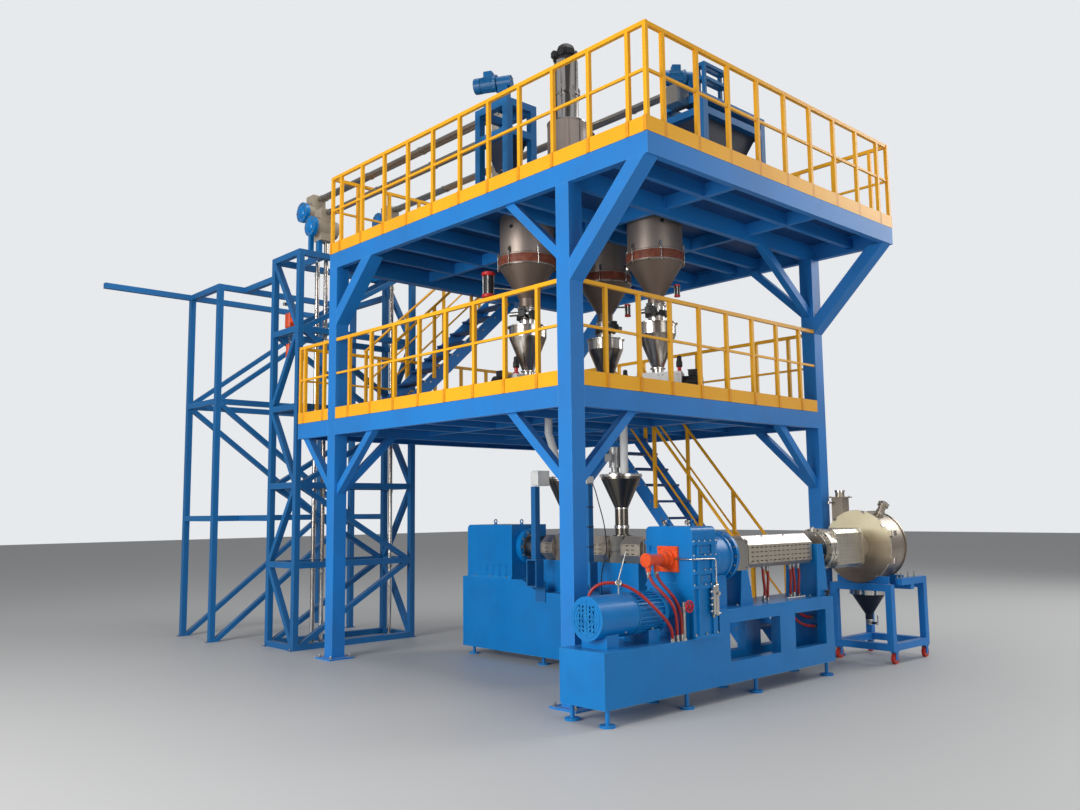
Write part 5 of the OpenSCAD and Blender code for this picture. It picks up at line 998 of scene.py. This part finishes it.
# Hood sheet: the disc is pale gold at the top and darker brown-grey towards the bottom, a painted
# reflection; past the disc the drum is a darker steel.
hood_sheet = finish(
    "hood_sheet", (0.96, 0.86, 0.58), 0.36, metallic=0.35, other=(0.84, 0.7, 0.46), patch=2.4,
    grain=70, bump=0.03, dust_and_sheen=0.3, dust_and_sheen_colour=(0.86, 0.8, 0.66),
    zones=(
        (2, 1.56, -0.16, (0.52, 0.42, 0.3), 0.3, 0.6),
        (2, 1.24, -0.2, (0.24, 0.19, 0.15), 0.3, 0.75),
        (0, 4.304, 0.001, (0.3, 0.25, 0.215), 0.36, 0.75),
    ),
)
dress(hood_sheet, "pelletizer_hood")
sockets_dark = bmesh.new()
socket_heads = bmesh.new()


def die_ring(x, radius, angle):
    """A place on a circle round the discharge axis, and the way out from that axis."""
    out = Vector((0, cos(radians(angle)), sin(radians(angle))))
    return Vector((x, line_y, line_z)) + out * radius, out


for angle in range(15, 375, 30):
    at, out = die_ring(3.31, 0.218, angle)
    round_bar(sockets_dark, at, left, 0, 0.0015, 0.0105, sides=20)
    hoop(socket_heads, at, left, 0, 0.0025, 0.0105, 0.0135, steps=20)
    for x, r in ((3.41, 0.011), (3.338, 0.008)):
        at, out = die_ring(x, 0.235, angle)
        round_bar(sockets_dark, at, out, -0.004, 0.0012, r, sides=20)
for k in range(8):
    bolt(socket_heads, die_ring(3.25, 0.172, 22.5 + 45 * k)[0], left, 0.022)
round_bar(socket_heads, (3.29, line_y, 1.545), up, -0.002, 0.03, 0.016, sides=16)
round_bar(socket_heads, (3.29, line_y, 1.545), up, 0.03, 0.05, 0.024, sides=6)
for y, out in ((-0.7455, -1), (-0.3145, 1)):
    bolts(socket_heads, (3.47, 3.95), (y,), (1.19, line_z, 1.5), (0, out, 0), 0.012)
bolts(socket_heads, (3.6, 3.82), (-0.6, -0.46), (1.56,), up, 0.016)
finished(sockets_dark, "die_sockets", cast_black)
finished(socket_heads, "die_bolts", bright_steel)


# Pelletizer hood: a polished door disc on its drum. Swing clamps hold the rim, a bead runs round
# it, and the slanted viewing stub and the inlet duct end in clamp rings.
hood_x = 4.49
hood = bmesh.new()
bead(hood, (4.29, line_y, line_z), right, 0.4275, 0.0055, 96)
for angle in (144, 237, 105, 50, -20):
    at, radial = die_ring(4.29, 0.418, angle)
    turn = Matrix.Translation(at) @ radial.to_track_quat("Z", "X").to_matrix().to_4x4()
    plate(hood, (-0.022, -0.03, -0.006), (0.022, 0.042, 0.011), edge=0.003, turn=turn)
    round_bar(hood, at + Vector((-0.014, 0, 0)), left, -0.01, 0.008, 0.014, sides=16)
    pin = at + Vector((0.055, 0, 0))
    round_bar(hood, pin, right, -0.075, 0.02, 0.008, sides=12)
    round_bar(hood, pin - radial * 0.03, radial, 0, 0.04, 0.011, sides=12)
stub, tilt = die_ring(hood_x, 0, 90 + 27)
bolt_ring(hood, stub + tilt * 0.53, -tilt, 0.056, 6, 0.011)
bolt_ring(hood, stub + tilt * 0.576, tilt, 0.056, 6, 0.011)
hoop(hood, stub + tilt * 0.44, tilt, 0, 0.03, 0.0445, 0.053, steps=36)
round_bar(hood, stub + tilt * 0.58, tilt, -0.001, 0.012, 0.04, sides=28)
bolts(hood, (4.33, 4.49), (-0.335, -0.175), (1.943,), up, 0.014)
hoop(hood, (4.415, -0.255, 2.0), up, 0, 0.024, 0.0545, 0.062, steps=36)
round_bar(hood, (4.26, -0.19, 1.86), up, 0, 0.026, 0.02, sides=16)
round_bar(hood, (4.26, -0.19, 1.87), right, 0, 0.085, 0.008, sides=12)
for z in (1.185, 1.505):
    round_bar(hood, (4.322, -0.968, z), up, -0.036, 0.036, 0.011, sides=16)
bolts(hood, (4.36, 4.405), (-0.964,), (1.185, 1.505), front, 0.012)
finished(hood, "hood_clamps", bright_steel, body="trolley")

# Outlet funnel: dark sheet steel under the hood, hung in a bright ring. A ball valve with a lever
# closes its neck, over a rolled bead at the mouth.
funnel_trim = bmesh.new()
hoop(funnel_trim, (hood_x, line_y, 0.77), up, 0, 0.058, 0.215, 0.2195, steps=64)
turned(funnel_trim, (hood_x, line_y, 0.455), up, [
    (0.029, -0.035), (0.04, -0.025), (0.046, 0), (0.04, 0.025), (0.029, 0.035), (0.029, -0.035),
], 32)
turned(funnel_trim, (hood_x, -0.62, 0.425), front, [
    (0, 0), (0.02, 0), (0.02, 0.014), (0.01, 0.02), (0, 0.02),
], 20)
plate(funnel_trim, (4.482, -0.645, 0.42), (4.498, -0.632, 0.52), edge=0.003)
hoop(funnel_trim, (hood_x, line_y, 0.405), up, 0, 0.014, 0.0295, 0.034, steps=32)
finished(funnel_trim, "funnel_trim", bright_steel, body="trolley")


# Trolley: jack bolts and lock nuts along its shelf, end caps on the open tubes, and casters with
# dark treads and zinc hubs.
jacks = bmesh.new()
bolts(jacks, (4.52,), (-0.945, -0.895), (0.97,), up, 0.022, stud=0.055)
bolts(jacks, (4.74, 4.9), (-0.92,), (0.97,), up, 0.022, stud=0.055)
bolts(jacks, (4.27, 5.09), (-0.92, -0.215), (0.911,), up, 0.016)
finished(jacks, "jack_bolts", zinc, body="trolley")
caster_red = finish(
    "caster_red", (0.62, 0.04, 0.018), 0.4, other=(0.4, 0.022, 0.012), patch=12,
    edge=(0.1, 0.05, 0.04), edge_r=0.006,
)
dress(caster_red, "front_casters", "rear_casters")
for x, end in ((4.32, "front"), (5.08, "rear")):
    hubs = bmesh.new()
    for y, side in product((-0.92, -0.215), (-1, 1)):
        hub = Vector((x, y + side * 0.019, 0.0625))
        hoop(hubs, hub, (0, side, 0), -0.001, 0.0025, 0.0125, 0.024, steps=32)
        for k in range(5):
            spot = swung(hub, -72 * k, "Y") @ Vector((0.038, 0, 0))
            round_bar(hubs, spot, (0, side, 0), -0.001, 0.0015, 0.0055, sides=12)
    finished(hubs, "caster_hubs_" + end, zinc, body=end + "_wheels")


# Frame top: a white plastic rod left lying by the window, and a black plastic cap that is pushed
# into a tapped hole at the frame's near corner.
rod = bmesh.new()
round_bar(rod, (2.56, -0.64, 0.858), (1, -0.04, 0), 0, 0.3, 0.0075, sides=16)
round_bar(rod, (2.86, -0.652, 0.858), (1, -0.04, 0), 0, 0.02, 0.012, sides=16)
finished(rod, "white_rod", enamel)
knob = bmesh.new()
turned(knob, (3.17, -0.76, 0.85), up, [
    (0, 0), (0.022, 0), (0.022, 0.01), (0.012, 0.016), (0.012, 0.034), (0.026, 0.042),
    (0.026, 0.058), (0, 0.066),
], 28)
finished(knob, "frame_knob", cast_black)
